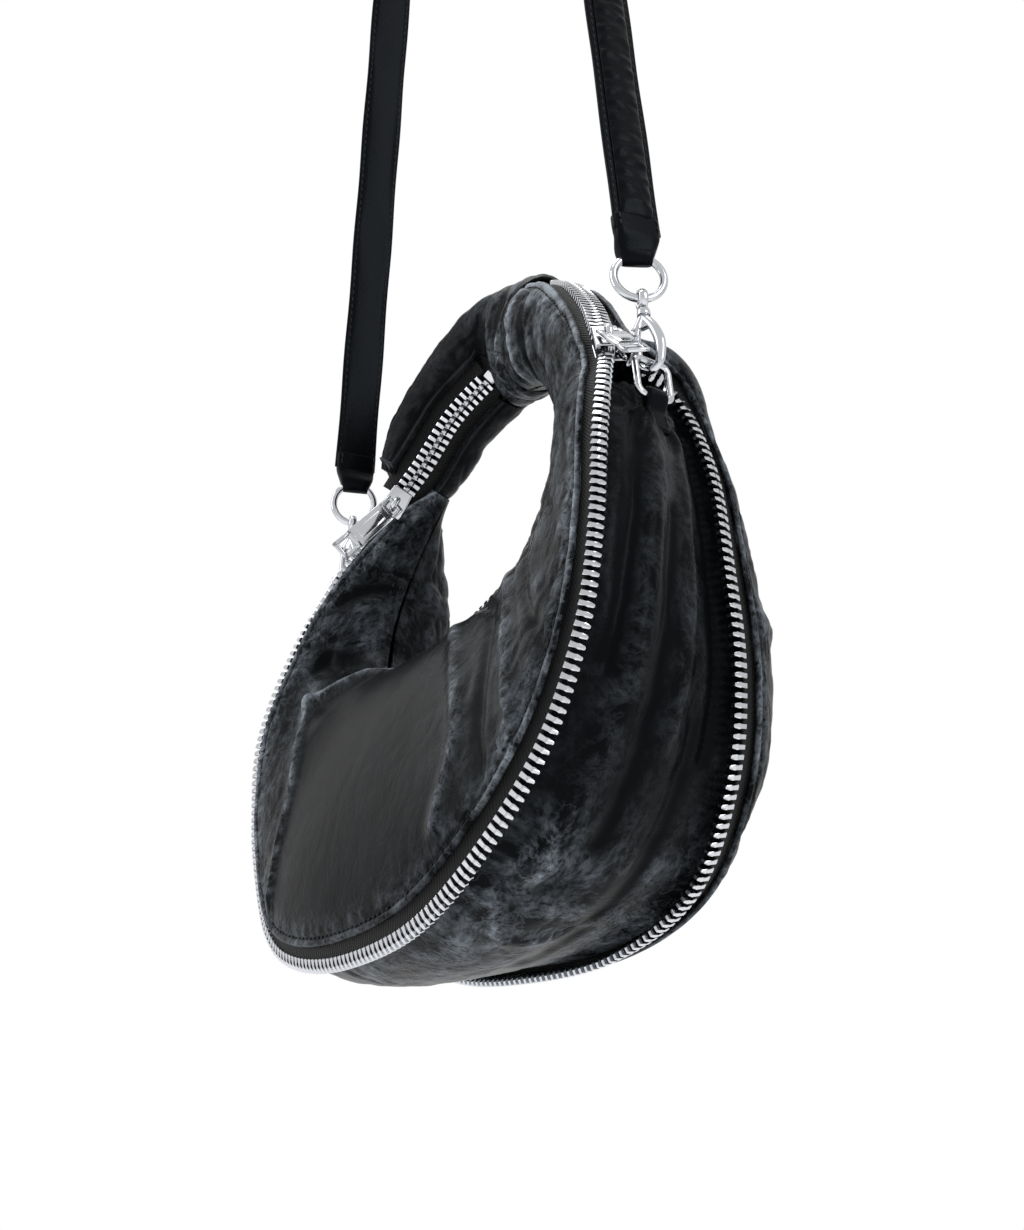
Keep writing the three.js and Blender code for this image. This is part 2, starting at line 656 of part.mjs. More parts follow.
const leftChainStart = 1 - chainStandOff / sleeveLine.getLength();
const leftSteps = pitchSteps(leftZip, leftChainStart, sleeveStopShare);
addPiece(group, 'left_chain', combSolid(leftSteps, leftZipReach, closedChain.high, closedChain.low), steel);
const lastStep = leftSteps[leftSteps.length - 1];
addStop('left_stop', lastStep.point, lastStep.run, leftZipReach(lastStep.share));
const rightSteps = pitchSteps(rightZip, rightChainStart, rightChainEnd);
const topStep = rightSteps[rightSteps.length - 1];
addStop('right_stop', topStep.point, topStep.run, rightZipReach(topStep.share));

// Strips of tape beside the closed chain on the sleeve
[['sleeve_front_tape', 1], ['sleeve_back_tape', -1]].forEach(([name, side]) => {
  const range = (a, b) => {
    const share = THREE.MathUtils.lerp(sleeveEnds[1], sleeveStopShare, a);
    const inner = (chainHalfWidth + tapeEdgeGap) / halfWidthAt(share);
    const outer = (sleeveSlitWidth / 2 + tapeEdgeGap) / halfWidthAt(share);
    return [share, sleeveTurnAt(share) + side * THREE.MathUtils.lerp(inner, outer, b)];
  };
  addPiece(group, name, slab(sleeve.surface, sleeve.facing, [10, 1], range, ...tapeDepths), twill);
});

// Gusset: a leather band between the rows, tucked under their tapes and bowed out between them
function gussetPoint(station, share) {
  const dive = THREE.MathUtils.degToRad(gussetDive);
  const [near, far] = [front, back].map((panel) => {
    const section = panel.sectionOf(station);
    const tuck = shareBefore(section, gussetTuckWidth);
    const normal = normalOn(panel.surface, panel.facing, station, tuck);
    const start = section.getPoint(tuck).addScaledVector(normal, -gussetDepth);
    const leaving = section.getTangent(tuck).multiplyScalar(Math.cos(dive));
    return { start, leaving: leaving.addScaledVector(normal, -Math.sin(dive)) };
  });
  const across = far.start.clone().sub(near.start);
  const out = new THREE.Vector3().crossVectors(runAt(station), across).normalize().negate();
  const reach = gussetReachShare * across.length();
  const [crown] = keyedAt(gussetCrownShares, station);
  const bow = ({ start, leaving }) => start.clone().addScaledVector(leaving, reach);
  const arch = (4 * share * (1 - share)) ** 2;
  return new THREE.CubicBezierCurve3(near.start, bow(near), bow(far), far.start).getPoint(share)
    .addScaledVector(out, crown * gussetWidth * arch);
}

const gusset = { facing: -1, surface: gussetPoint };
const gussetRows = [1, 32];
addPiece(group, 'gusset', slab(gusset.surface, gusset.facing, [gussetRows[1] - gussetRows[0], 8],
  (a, b) => [stationOf(THREE.MathUtils.lerp(...gussetRows, a)), b], 0, gussetThickness), leather);

// Sliders, each with its bail and puller. X runs towards the closed chain and Z out of the bag.
const channelHalfHeight = toothThickness / 2 + sliderRunClearance;
const sliderHalfHeight = channelHalfHeight + sliderWallThickness;
const channelHalfWidth = chainHalfWidth + sliderRunClearance;
const slotHalfHeight = tapeThickness / 2 + sliderSlotClearance;
const bailFoot = sliderHalfHeight - cutOverrun;
const pullerHingeHeight = sliderHalfHeight + (bailHeight - bailThickness) / 2;

function sliderBody() {
  const half = [sliderLength / 2, sliderWidth / 2];
  const past = [half[0] + cutOverrun, half[1] + cutOverrun];
  const outline = new THREE.Shape();
  outline.moveTo(-half[0], -half[1]).lineTo(half[0], -channelHalfWidth - sliderWallThickness / 2);
  outline.lineTo(half[0], channelHalfWidth + sliderWallThickness / 2).lineTo(-half[0], half[1]);
  const solid = new THREE.ExtrudeGeometry(outline, { depth: 2 * sliderHalfHeight, bevelEnabled: false })
    .translate(0, 0, -sliderHalfHeight);
  const channel = block([-past[0], -channelHalfWidth, -channelHalfHeight], [past[0], channelHalfWidth, channelHalfHeight]);
  const slot = block([-past[0], -past[1], -slotHalfHeight], [past[0], past[1], slotHalfHeight]);
  const divider = block([-half[0], -dividerWidth / 2, -bailFoot],
    [dividerLength - half[0], dividerWidth / 2, bailFoot]);
  const bail = block([-bailLength / 2, -bailWidth / 2, bailFoot],
    [bailLength / 2, bailWidth / 2, sliderHalfHeight + bailHeight]);
  const bailEye = block([bailThickness - bailLength / 2, -past[1], sliderHalfHeight],
    [bailLength / 2 - bailThickness, past[1], sliderHalfHeight + bailHeight - bailThickness]);
  return cutBy(joined(cutBy(solid, channel, slot), divider, bail), bailEye);
}

// A puller, lying along -X from its hinge
function pullerBody() {
  const end = pullerEndWidth / 2;
  const middle = pullerLength / 2 - end;
  const shape = roundedRectangle(pullerLength / 2, pullerWidth / 2, pullerCornerRadius);
  const hole = (from, to, halfWidth) => {
    const path = new THREE.Path();
    path.moveTo(from, -halfWidth).lineTo(from, halfWidth).lineTo(to, halfWidth).lineTo(to, -halfWidth).closePath();
    return path;
  };
  const eyeEnd = pullerLength / 2 - pullerEndWidth;
  const slotEnd = -pullerLength / 2 + pullerEndWidth;
  shape.holes.push(hole(eyeEnd - pullerEyeLength, eyeEnd, pullerEyeWidth / 2));
  shape.holes.push(hole(slotEnd, slotEnd + pullerSlotLength, pullerSlotWidth / 2));
  return new THREE.ExtrudeGeometry(shape, { depth: pullerThickness, bevelEnabled: false, curveSegments: 2 })
    .translate(-middle, 0, -pullerThickness / 2);
}

const leftRun = sleeveLine.getTangent(1).negate();
const rightAhead = stationAway(sliderStations.right, sliderLength / 2 + sliderTravelLength, 1);
const rightRun = rightZip(rightAhead).sub(rightZip(sliderStations.right)).normalize();
// A frame on the zip, its X axis along the zip and its Z axis as near as it can be to the outward way
function zipFrame(origin, run, outward) {
  const square = outward.clone().addScaledVector(run, -outward.dot(run));
  return frameOf(origin, run, square);
}

const sliderFrames = {
  left: zipFrame(leftZip(1), leftRun, sleeveFrame(1).face),
  right: zipFrame(rightZip(sliderStations.right), rightRun,
    [front, back].reduce((sum, { surface, facing }) =>
      sum.add(normalOn(surface, facing, sliderStations.right, 0.99)), new THREE.Vector3())),
};

// The tapes are cut away round each slider and its travel
const spaceHalf = [sliderLength, sliderWidth, 2 * sliderHalfHeight].map((size) => size / 2 + sliderRunClearance);
const sliderSpaces = Object.values(sliderFrames).map((frame) =>
  block(spaceHalf.map((value) => -value), [spaceHalf[0] + sliderTravelLength, spaceHalf[1], spaceHalf[2]])
    .applyMatrix4(frame));
['front_tape', 'back_tape', 'sleeve_front_tape', 'sleeve_back_tape'].forEach((name) => {
  const tape = group.getObjectByName(name);
  tape.geometry = cutBy(tape.geometry, ...sliderSpaces);
});

Object.entries(sliderFrames).forEach(([side, frame]) => {
  const holder = framedGroup(group, frame);
  addPiece(holder, `${side}_slider`, sliderBody(), steel);
  const puller = addPiece(holder, `${side}_puller`, pullerBody(), steel);
  puller.position.set(0, 0, pullerHingeHeight);
  puller.rotation.set(0, THREE.MathUtils.degToRad(pullerRises[side]), THREE.MathUtils.degToRad(pullerYaws[side]), 'ZYX');
});

// Leather folded round a wire at the origin, its tail along +Z and the wire along X.
// Rows are [height, half width, half thickness, shift]; turnAt gives a row's turn about Z.
function foldedLeather(rows, turnAt) {
  return solidFromRings(rows.map(([height, halfWidth, halfThickness, shift]) => {
    const chamfer = halfThickness * 0.4;
    const [w, t] = [halfWidth - chamfer, halfThickness - chamfer];
    const corners = [[w, -halfThickness], [halfWidth, -t], [halfWidth, t], [w, halfThickness],
      [-w, halfThickness], [-halfWidth, t], [-halfWidth, -t], [-w, -halfThickness]];
    const turn = turnAt(height);
    return corners.map(([x, y]) => new THREE.Vector3(x, y + shift, height)
      .applyAxisAngle(new THREE.Vector3(0, 0, 1), turn));
  }));
}

// Where the strap's straight runs meet the round top that holds it, seen along Y
const holdRadius = strapHoldRadius - tabThickness - layerGap;

function tangentTo(from, side) {
  const centre = new THREE.Vector3(strapHoldOffset, from.y, strapHoldHeight);
  const gap = centre.clone().sub(from);
  const distance = gap.length();
  const turn = -side * Math.asin(holdRadius / distance);
  const length = Math.sqrt(distance * distance - holdRadius * holdRadius);
  const way = gap.normalize().applyAxisAngle(new THREE.Vector3(0, 1, 0), -turn);
  return { way, length };
}

// End hardware, one line at each end: loop, link, hook, ring and strap tab, pulled straight by the strap
const bowToBar = hookWireDiameter / 2 + touchGap + linkWireDiameter / 2;
const slotTop = gateHingeHeight + gateKnuckleDiameter / 2 + touchGap;
const windowFoot = slotTop + windowWallThickness;
const windowTop = windowFoot + postHeadThickness + 2 * touchGap;
const collarTop = windowTop + collarHeight;
const eyeHeight = collarTop + touchGap + eyeInnerDiameter / 2 + eyeWireDiameter;
const ringRadius = (ringOuterDiameter - ringWireDiameter) / 2;
const ringFoot = eyeHeight + eyeInnerDiameter / 2 - touchGap - ringWireDiameter / 2;
const linkSpan = linkHeight - linkWireDiameter;
const loopReach = linkWireDiameter / 2 + touchGap + loopThickness;

const hookGeometry = (() => {
  const arm = new THREE.CatmullRomCurve3(hookArmShares.map(([x, z]) =>
    new THREE.Vector3(x * hookHalfWidth, 0, z * hookArmHeight)), false, 'catmullrom', 0.5);
  const wire = bentWire(arm.getPoints(14).map((p) => [p.x, p.z]), hookWireDiameter, 6);
  const outline = new THREE.Shape(hookBodyShares.map(([x, z]) =>
    new THREE.Vector2(x * hookHalfWidth, THREE.MathUtils.lerp(hookBodyFoot, collarTop - collarHeight / 2, z))));
  const gateX = hookArmShares[hookArmShares.length - 1][0] * hookHalfWidth;
  const slotHalf = gateNeckThickness / 2 + touchGap;
  const gateSlot = block([gateX - hookHalfWidth, -slotHalf, hookBodyFoot - cutOverrun],
    [gateX + gateNeckLength, slotHalf, slotTop]);
  const windowHalf = postHeadDiameter / 2 + touchGap;
  const windowCut = block([-windowHalf, -hookBodyThickness, windowFoot], [windowHalf, hookBodyThickness, windowTop]);
  const collar = uprightBar(collarDiameter, windowTop - touchGap, collarTop);
  const bore = uprightBar(postDiameter + 2 * touchGap, windowTop - cutOverrun, collarTop + cutOverrun);
  const pinBore = crossBar(gatePinDiameter + 2 * touchGap, hookBodyThickness + cutOverrun, gateX, gateHingeHeight, 8);
  return cutBy(joined(cutBy(plate(outline, hookBodyThickness), gateSlot), wire, collar), windowCut, bore, pinBore);
})();

const gateGeometry = (() => {
  const [noseX, noseHeight] = [hookArmShares[hookArmShares.length - 1][0] * hookHalfWidth,
    hookArmShares[hookArmShares.length - 1][1] * hookArmHeight];
  const rodTop = gateHingeHeight - gateNeckLength;
  const rod = uprightBar(gateDiameter, noseHeight + touchGap, rodTop, 8);
  const neck = block([-gateDiameter / 2, -gateNeckThickness / 2, rodTop - cutOverrun],
    [gateDiameter / 2, gateNeckThickness / 2, gateHingeHeight]);
  const knuckle = crossBar(gateKnuckleDiameter, gateNeckThickness, 0, gateHingeHeight);
  const bore = crossBar(gatePinDiameter + 2 * touchGap, gateNeckThickness + cutOverrun, 0, gateHingeHeight, 8);
  return cutBy(joined(rod, neck, knuckle), bore).translate(noseX, 0, 0);
})();

const wireSides = 6;
const pinSides = 8;
const ringSteps = 24;
const eyeGeometry = (() => {
  const eyeRadius = (eyeInnerDiameter + eyeWireDiameter) / 2;
  const loop = bentWire(circlePoints(eyeRadius, ringSteps / 2), eyeWireDiameter, wireSides, true).translate(0, 0, eyeHeight);
  const headFoot = windowFoot + touchGap;
  const head = uprightBar(postHeadDiameter, headFoot, headFoot + postHeadThickness, pinSides);
  return joined(loop, uprightBar(postDiameter, headFoot, eyeHeight - eyeRadius, pinSides), head);
})();

const loopStations = [14, 15];
const stationLength = rowAt(frontRow, loopStations[0]).distanceTo(rowAt(frontRow, loopStations[1]));
const hardware = {};
[['left', -1], ['right', 1]].forEach(([side, way]) => {
  const [station, share] = loopPlaceShares[side];
  const seat = gusset.surface(station, share);
  const seatNormal = normalOn(gusset.surface, gusset.facing, station, share);
  const bar = seat.clone().addScaledVector(seatNormal, loopReach + 3 * touchGap);
  const pull = tangentTo(bar, way);
  const along = (length) => bar.clone().addScaledVector(pull.way, length);
  const contact = along(linkSpan);
  const hookOrigin = along(linkSpan - bowToBar);
  const fromHook = (height) => along(linkSpan - bowToBar + height);
  const ringCentre = fromHook(ringFoot + ringRadius);
  const ringTop = fromHook(ringFoot + 2 * ringRadius);

  const linkFrame = frameOf(along(linkSpan / 2), heading(linkHeading), pull.way);
  const linkShape = roundedRectangle((linkWidth - linkWireDiameter) / 2, linkSpan / 2,
    linkCornerRadius - linkWireDiameter / 2);
  const linkPoints = linkShape.getPoints(2).map((p) => [p.x, p.y]);
  addPiece(framedGroup(group, linkFrame), `${side}_link`, bentWire(linkPoints, linkWireDiameter, 6, true), steel);

  // The loop's tail runs down the gusset, square to the link's bar
  const below = station - way * (loopTailLength / stationLength);
  const down = gusset.surface(below, share).sub(seat).normalize();
  const barWay = heading(linkHeading).addScaledVector(pull.way, -heading(linkHeading).dot(pull.way)).normalize();
  const tail = down.addScaledVector(barWay, -down.dot(barWay)).normalize();
  const loopFrame = frameOf(bar, barWay, tail);
  const outward = new THREE.Vector3().setFromMatrixColumn(loopFrame, 1).dot(seatNormal) > 0 ? 1 : -1;
  const lay = outward * (loopThickness - loopReach);
  const loopSolid = foldedLeather([
    [-loopReach, loopWidth / 2, loopReach * 0.5, 0],
    [-loopReach / 2, loopWidth / 2, loopReach, 0],
    [loopReach / 2, loopWidth / 2, loopReach, 0],
    [2 * loopReach, loopWidth / 2, loopThickness, lay],
    [loopTailLength, loopWidth / 2, loopThickness, lay],
  ], () => 0);
  const loopBore = new THREE.CylinderGeometry(linkWireDiameter / 2 + touchGap, linkWireDiameter / 2 + touchGap,
    loopWidth + cutOverrun, 10).rotateZ(Math.PI / 2);
  addPiece(framedGroup(group, loopFrame), `${side}_loop`, cutBy(loopSolid, loopBore), leather);

  const hookHolder = framedGroup(group, frameOf(hookOrigin, heading(hookHeading), pull.way));
  addPiece(hookHolder, `${side}_hook`, hookGeometry.clone(), steel);
  addPiece(hookHolder, `${side}_gate`, gateGeometry.clone(), steel);
  const gateX = hookArmShares[hookArmShares.length - 1][0] * hookHalfWidth;
  addPiece(hookHolder, `${side}_gate_pin`,
    crossBar(gatePinDiameter, hookBodyThickness, gateX, gateHingeHeight, 8), steel);
  const eyeHolder = framedGroup(group, frameOf(hookOrigin, heading(ringHeading - 90), pull.way));
  addPiece(eyeHolder, `${side}_eye`, eyeGeometry.clone(), steel);

  const ringHolder = framedGroup(group, frameOf(ringCentre, heading(ringHeading), pull.way));
  const ringGeometry = bentWire(circlePoints(ringRadius, ringSteps), ringWireDiameter, wireSides, true);
  addPiece(ringHolder, `${side}_ring`, ringGeometry, steel);

  // The strap's tab: folded round the ring, turning from the ring's way to the strap's
  const tabReach = ringWireDiameter / 2 + tabGap + tabThickness;
  const twist = THREE.MathUtils.degToRad(90 - strapEndTurn - ringHeading);
  const tabSolid = foldedLeather([
    [-tabReach, tabNeckWidth / 2 - tabThickness / 2, tabReach * 0.5, 0],
    [-tabReach / 2, tabNeckWidth / 2, tabReach * 0.95, 0],
    [tabReach / 2, tabNeckWidth / 2 + tabThickness / 2, tabReach * 0.95, 0],
    [1.6 * tabReach, tabWidth / 2, tabThickness, 0],
    [tabTailLength, tabWidth / 2, tabThickness, 0],
  ], (height) => twist * THREE.MathUtils.smoothstep(height, -tabReach, 2 * tabReach));
  const tabBore = bentWire(circlePoints(ringRadius, ringSteps), ringWireDiameter + 2 * tabGap, pinSides, true)
    .translate(0, 0, -ringRadius);
  const tabHolder = framedGroup(group, frameOf(ringTop, heading(ringHeading), pull.way));
  addPiece(tabHolder, `${side}_strap_tab`, cutBy(tabSolid, tabBore), leather);

  hardware[side] = { ringTop, pull: tangentTo(ringTop, way) };
});

// Strap: up from the right tab, over the round top and down to the left tab
const strapStart = tabTailLength - strapLapLength;
const strapLift = tabThickness + layerGap + strapThickness / 2;

function strapSamples() {
  const samples = [];
  const runSteps = [0.1, 0.4, 0.7];
  const side = (name, way) => {
    const { ringTop, pull } = hardware[name];
    const margin = strapPadMargin / (pull.length - strapStart);
    return [0, margin, ...runSteps].map((part) => {
      const length = THREE.MathUtils.lerp(strapStart, pull.length, part);
      const point = ringTop.clone().addScaledVector(pull.way, length);
      return { point, run: pull.way.clone().multiplyScalar(way), turn: strapEndTurn };
    });
  };
  const arcEnd = (name) => hardware[name].ringTop.clone()
    .addScaledVector(hardware[name].pull.way, hardware[name].pull.length);
  const [start, end] = [arcEnd('right'), arcEnd('left')];
  const angleOf = (p) => Math.atan2(p.z - strapHoldHeight, p.x - strapHoldOffset);
  const [from, to] = [angleOf(start), angleOf(end)];
  const sweep = ((to - from) % (2 * Math.PI) + 2 * Math.PI) % (2 * Math.PI);
  const arcSteps = 18;
  const arc = Array.from({ length: arcSteps + 1 }, (_, i) => {
    const angle = from + (sweep * i) / arcSteps;
    const y = THREE.MathUtils.lerp(start.y, end.y, i / arcSteps);
    const point = new THREE.Vector3(strapHoldOffset + holdRadius * Math.cos(angle), y,
      strapHoldHeight + holdRadius * Math.sin(angle));
    return { point, run: new THREE.Vector3(-Math.sin(angle), 0, Math.cos(angle)),
      turn: strapEndTurn * Math.abs(1 - (2 * i) / arcSteps) };
  });
  samples.push(...side('right', 1), ...arc, ...side('left', -1).reverse());
  return samples.map(({ point, run, turn }) => {
    const width = heading(90 - turn);
    width.addScaledVector(run, -width.dot(run)).normalize();
    const out = new THREE.Vector3().crossVectors(width, run);
    return { point: point.addScaledVector(out, strapLift), width, out };
  });
}

const strap = strapSamples();
const strapPart = (samples, outline) => solidFromRings(samples.map(({ point, width, out }) =>
  outline.map(([w, t]) => point.clone().addScaledVector(width, w).addScaledVector(out, t))));
const strapHalf = [strapWidth / 2, strapThickness / 2];
addPiece(group, 'strap', strapPart(strap, [[-strapHalf[0], -strapHalf[1]], [strapHalf[0], -strapHalf[1]],
  [strapHalf[0], strapHalf[1]], [-strapHalf[0], strapHalf[1]]]), leather);

// The padded middle, on the strap's outer face, short of its ends
const padFoot = strapThickness / 2 + layerGap;
const padHalf = strapPadWidth / 2;
addPiece(group, 'strap_pad', strapPart(strap.slice(1, -1), [[-padHalf, padFoot], [padHalf, padFoot],
  [padHalf * 0.75, padFoot + strapPadThickness * 0.8], [0, padFoot + strapPadThickness],
  [-padHalf * 0.75, padFoot + strapPadThickness * 0.8]]), leather);

// The origin is the top of the strap's inner face, midway between the runs
const holdTop = new THREE.Vector3(strapHoldOffset, (hardware.left.ringTop.y + hardware.right.ringTop.y) / 2,
  strapHoldHeight + strapHoldRadius);
group.position.copy(holdTop).negate();

export default group;
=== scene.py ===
# Small ring-shaped shoulder bag of black crinkled leather. Two rows of metal zip run round its outside with an
# expansion gusset between them, and it hangs by snap hooks from a long strap.
# Metres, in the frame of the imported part: X to its right end, Y to its back, Z up, origin at the top of the strap.
import json
import math
import bmesh
import bpy
import numpy as np
from mathutils import Matrix, Vector, noise


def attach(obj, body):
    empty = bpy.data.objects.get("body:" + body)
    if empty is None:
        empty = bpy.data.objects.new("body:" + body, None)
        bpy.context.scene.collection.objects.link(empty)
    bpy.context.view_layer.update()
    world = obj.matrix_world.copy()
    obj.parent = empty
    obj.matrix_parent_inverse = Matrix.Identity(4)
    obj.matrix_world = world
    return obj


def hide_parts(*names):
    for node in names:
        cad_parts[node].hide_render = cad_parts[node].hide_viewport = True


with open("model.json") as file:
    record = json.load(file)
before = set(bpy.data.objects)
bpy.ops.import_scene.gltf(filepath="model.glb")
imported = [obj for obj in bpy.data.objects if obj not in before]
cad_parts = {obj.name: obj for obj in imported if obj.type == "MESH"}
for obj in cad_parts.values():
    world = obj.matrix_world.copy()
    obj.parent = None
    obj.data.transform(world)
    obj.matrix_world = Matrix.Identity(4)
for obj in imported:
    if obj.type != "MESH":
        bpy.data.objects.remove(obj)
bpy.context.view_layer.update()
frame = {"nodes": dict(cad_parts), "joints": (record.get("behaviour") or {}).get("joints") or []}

# Studio: a white paper floor in a white room, with soft boxes at the left, at the right, above and low in front.
# The camera stands to the right of the bag and a little under it, with a 50 mm lens on a 36 mm frame.
scene = bpy.context.scene
scene.view_settings.view_transform = "Standard"

MM = 0.001
CAMERA_PLACE = Vector((517.7, -324.2, -766.9)) * MM
CAMERA_RIGHT = Vector((0.5562, 0.8311, 0))
CAMERA_FORWARD = Vector((-0.7881, 0.5274, 0.3174))
LENS_MM, FILM_MM = 50, 36


def linear(hex_colour):
    """An sRGB hex colour as linear red, green, blue and alpha."""
    values = [int(hex_colour[i:i + 2], 16) / 255 for i in (1, 3, 5)]
    return [v / 12.92 if v <= 0.04045 else ((v + 0.055) / 1.055) ** 2.4 for v in values] + [1]


def add_node(tree, kind, inputs=(), **settings):
    """Adds a node with its settings; each input is a value or the socket that feeds it."""
    made = tree.nodes.new(kind)
    for name, value in settings.items():
        setattr(made, name, value)
    for name, value in dict(inputs).items():
        if isinstance(value, bpy.types.NodeSocket):
            tree.links.new(value, made.inputs[name])
        else:
            made.inputs[name].default_value = value
    return made


def look_along(place, forward, right):
    """The matrix of a camera or lamp at a place, looking along one direction."""
    forward = forward.normalized()
    right = (right - right.dot(forward) * forward).normalized()
    up = right.cross(forward)
    turn = Matrix((right, up, -forward)).transposed()
    return Matrix.Translation(place) @ turn.to_4x4()


camera = bpy.data.objects.new("camera", bpy.data.cameras.new("camera"))
scene.collection.objects.link(camera)
scene.camera = camera
camera.data.lens = LENS_MM
camera.data.sensor_width = FILM_MM
camera.data.clip_start, camera.data.clip_end = 0.05, 30
camera.matrix_world = look_along(CAMERA_PLACE, CAMERA_FORWARD, CAMERA_RIGHT)

FLOOR_HEIGHT = -1.35
FLOOR_SIZE = 7
BAG_MIDDLE = Vector((12, 0, -590)) * MM
FLOOR_GLOW, ROOM_LIGHT = 0.7, 0.5


def new_finish(name):
    """A new material and its empty node tree."""
    finish = bpy.data.materials.new(name)
    finish.use_nodes = True
    finish.node_tree.nodes.clear()
    return finish, finish.node_tree


def background_rays(tree):
    """1 for the rays that show the background: straight ones, and those that metal and glass send on."""
    rays = add_node(tree, "ShaderNodeLightPath").outputs
    seen = add_node(tree, "ShaderNodeMath", {0: rays["Is Camera Ray"], 1: rays["Is Glossy Ray"]}, operation="MAXIMUM")
    shown = add_node(tree, "ShaderNodeMath", {0: seen.outputs[0], 1: rays["Is Transmission Ray"]}, operation="MAXIMUM")
    return shown.outputs[0]


paper, tree = new_finish("white_paper_sweep")
plain = add_node(tree, "ShaderNodeBsdfDiffuse", {"Color": linear("#f4f4f4")})
glow = add_node(tree, "ShaderNodeEmission", {"Color": linear("#ffffff"), "Strength": FLOOR_GLOW})
both = add_node(tree, "ShaderNodeAddShader", {0: plain.outputs[0], 1: glow.outputs[0]})
picked = add_node(tree, "ShaderNodeMixShader",
                  {0: background_rays(tree), 1: plain.outputs[0], 2: both.outputs[0]})
add_node(tree, "ShaderNodeOutputMaterial", {0: picked.outputs[0]})

floor_mesh = bmesh.new()
bmesh.ops.create_grid(floor_mesh, x_segments=1, y_segments=1, size=FLOOR_SIZE)
bmesh.ops.translate(floor_mesh, verts=floor_mesh.verts, vec=(0, 0, FLOOR_HEIGHT))
floor_data = bpy.data.meshes.new("floor")
floor_mesh.to_mesh(floor_data)
floor = bpy.data.objects.new("floor", floor_data)
scene.collection.objects.link(floor)
floor.data.materials.append(paper)

world = bpy.data.worlds.new("white_studio")
scene.world = world
world.use_nodes = True
tree = world.node_tree
tree.nodes.clear()
# White for all that shows the background; half as much light falls on the bag
strength = add_node(tree, "ShaderNodeMapRange", {"Value": background_rays(tree), "To Min": ROOM_LIGHT, "To Max": 1.0})
white = add_node(tree, "ShaderNodeBackground", {"Color": linear("#ffffff"), "Strength": strength.outputs[0]})
add_node(tree, "ShaderNodeOutputWorld", {0: white.outputs[0]})

# Each soft box: its direction from the bag, distance, width, height and power
SOFT_BOXES = {
    "left_soft_box": ((-0.45, -0.85, 0.45), 1.6, 0.6, 1.4, 9),
    "right_soft_box": ((0.80, 0.10, 0.35), 1.6, 0.5, 1.3, 11),
    "top_soft_box": ((-0.15, -0.10, 1.0), 1.5, 1.2, 0.8, 15),
    "low_soft_box": ((0.45, -0.50, -0.62), 1.4, 0.9, 0.4, 7),
}
for name, (way, distance, width, height, power) in SOFT_BOXES.items():
    lamp = bpy.data.lights.new(name, "AREA")
    lamp.shape = "RECTANGLE"
    lamp.size, lamp.size_y, lamp.energy = width, height, power
    way = Vector(way).normalized()
    holder = bpy.data.objects.new(name, lamp)
    scene.collection.objects.link(holder)
    side = Vector((-way.y, way.x, 0))
    holder.matrix_world = look_along(BAG_MIDDLE + way * distance, -way, side)

# Front panel: a piece of crinkled black lambskin from the hand hole's seam round to the zip, lined and lightly
# padded. Its edge is folded over and stitched down on the zip tape 3 mm from the fold, which puckers it there.
LINKS_MIDDLE = np.array((6.5, 0.79879, -513.5))
GUSSET_WIDTH = 72
FRONT_ROW = ((-76, 8, 19), (-91, -10, -12), (-104, -22, -42), (-111, -32, -79), (-107, -35, -113.5),
             (-97, -37, -139.5), (-77, -41, -164), (-50, -44, -177), (-8, -47, -182), (45, -50, -177),
             (86, -51, -159), (114, -47, -131), (128, -43, -98), (129, -38, -64), (122, -31, -30),
             (113, -22, -5), (101, -12, 15), (80, -3, 41), (52, 8, 66), (22, 20, 82))
BACK_ROW = ((-76, 8, 19), (-92, 22, -6), (-104, 30, -40), (-109, 29, -79), (-105, 26, -113.5),
            (-95, 26, -141), (-75, 26, -166), (-50, 25, -178), (-8, 24, -183), (46.5, 25.5, -181),
            (88, 26.5, -165), (113.5, 23, -134), (123, 20, -100.5), (122, 18, -64.5), (115, 18.5, -28.5),
            (105, 12.5, 0), (101, -12, 15), (80, -3, 41), (52, 8, 66), (22, 20, 82))
HOLE_SEAM = ((-61, 17, 10), (-66, 10, -14), (-67, 4, -36), (-64, 0, -52), (-56, -4, -61), (-46, -6, -64),
             (-34, -7, -65), (-20, -7, -64), (-5, -7, -63), (13, -7, -60), (30, -7, -54), (44, -6, -46),
             (54, -5, -34), (60, -4, -21), (61, -2, -6), (58, 2, 9), (51, 6, 20), (41, 10, 30), (29, 14, 39),
             (12, 18, 45))
# How each panel swells: station, reach at the seam and at the zip, lean at the seam and at the zip
FRONT_SWELL = ((0, 0.06, 0.06, 0.1, 0), (2.5, 0.14, 0.22, 0.2, 0.88), (5, 0.38, 0.4, 0.3, 0.9),
               (8, 0.34, 0.5, 0.3, 0.78), (11, 0.1, 0.34, 0.3, 0.55), (14, 0.04, 0.2, 0.3, 0.5),
               (16, 0.12, 0.17, 0.1, 0), (19, 0.25, 0.25, 0.1, 0))
BACK_SWELL = ((0, 0.3, 0.3, 0.1, -0.2), (2, 0.3, 0.45, 0.1, 0), (4, 0.4, 0.55, 0.3, 0.1),
              (8, 0.4, 0.58, 0.3, 0.15), (12, 0.4, 0.74, 0.3, -0.2), (15, 0.35, 0.52, 0.2, -0.2),
              (17, 0.26, 0.26, 0.1, 0), (19, 0.25, 0.25, 0.1, 0))
LAST_STATION = len(FRONT_ROW) - 1
LEFT_SLIDER, RIGHT_SLIDER = 0, 16
# Leather, tape and lining as heights over the middle of the zip tape, and the widths beside the zip
LEATHER_TOP, LEATHER_THICKNESS = 2.7, 2.0
TAPE_SHOWN, TAPE_TUCKED = 7.0, 4.0


def unit(vectors):
    """The vectors, each made one long."""
    return vectors / np.maximum(np.linalg.norm(vectors, axis=-1, keepdims=True), 1e-9)


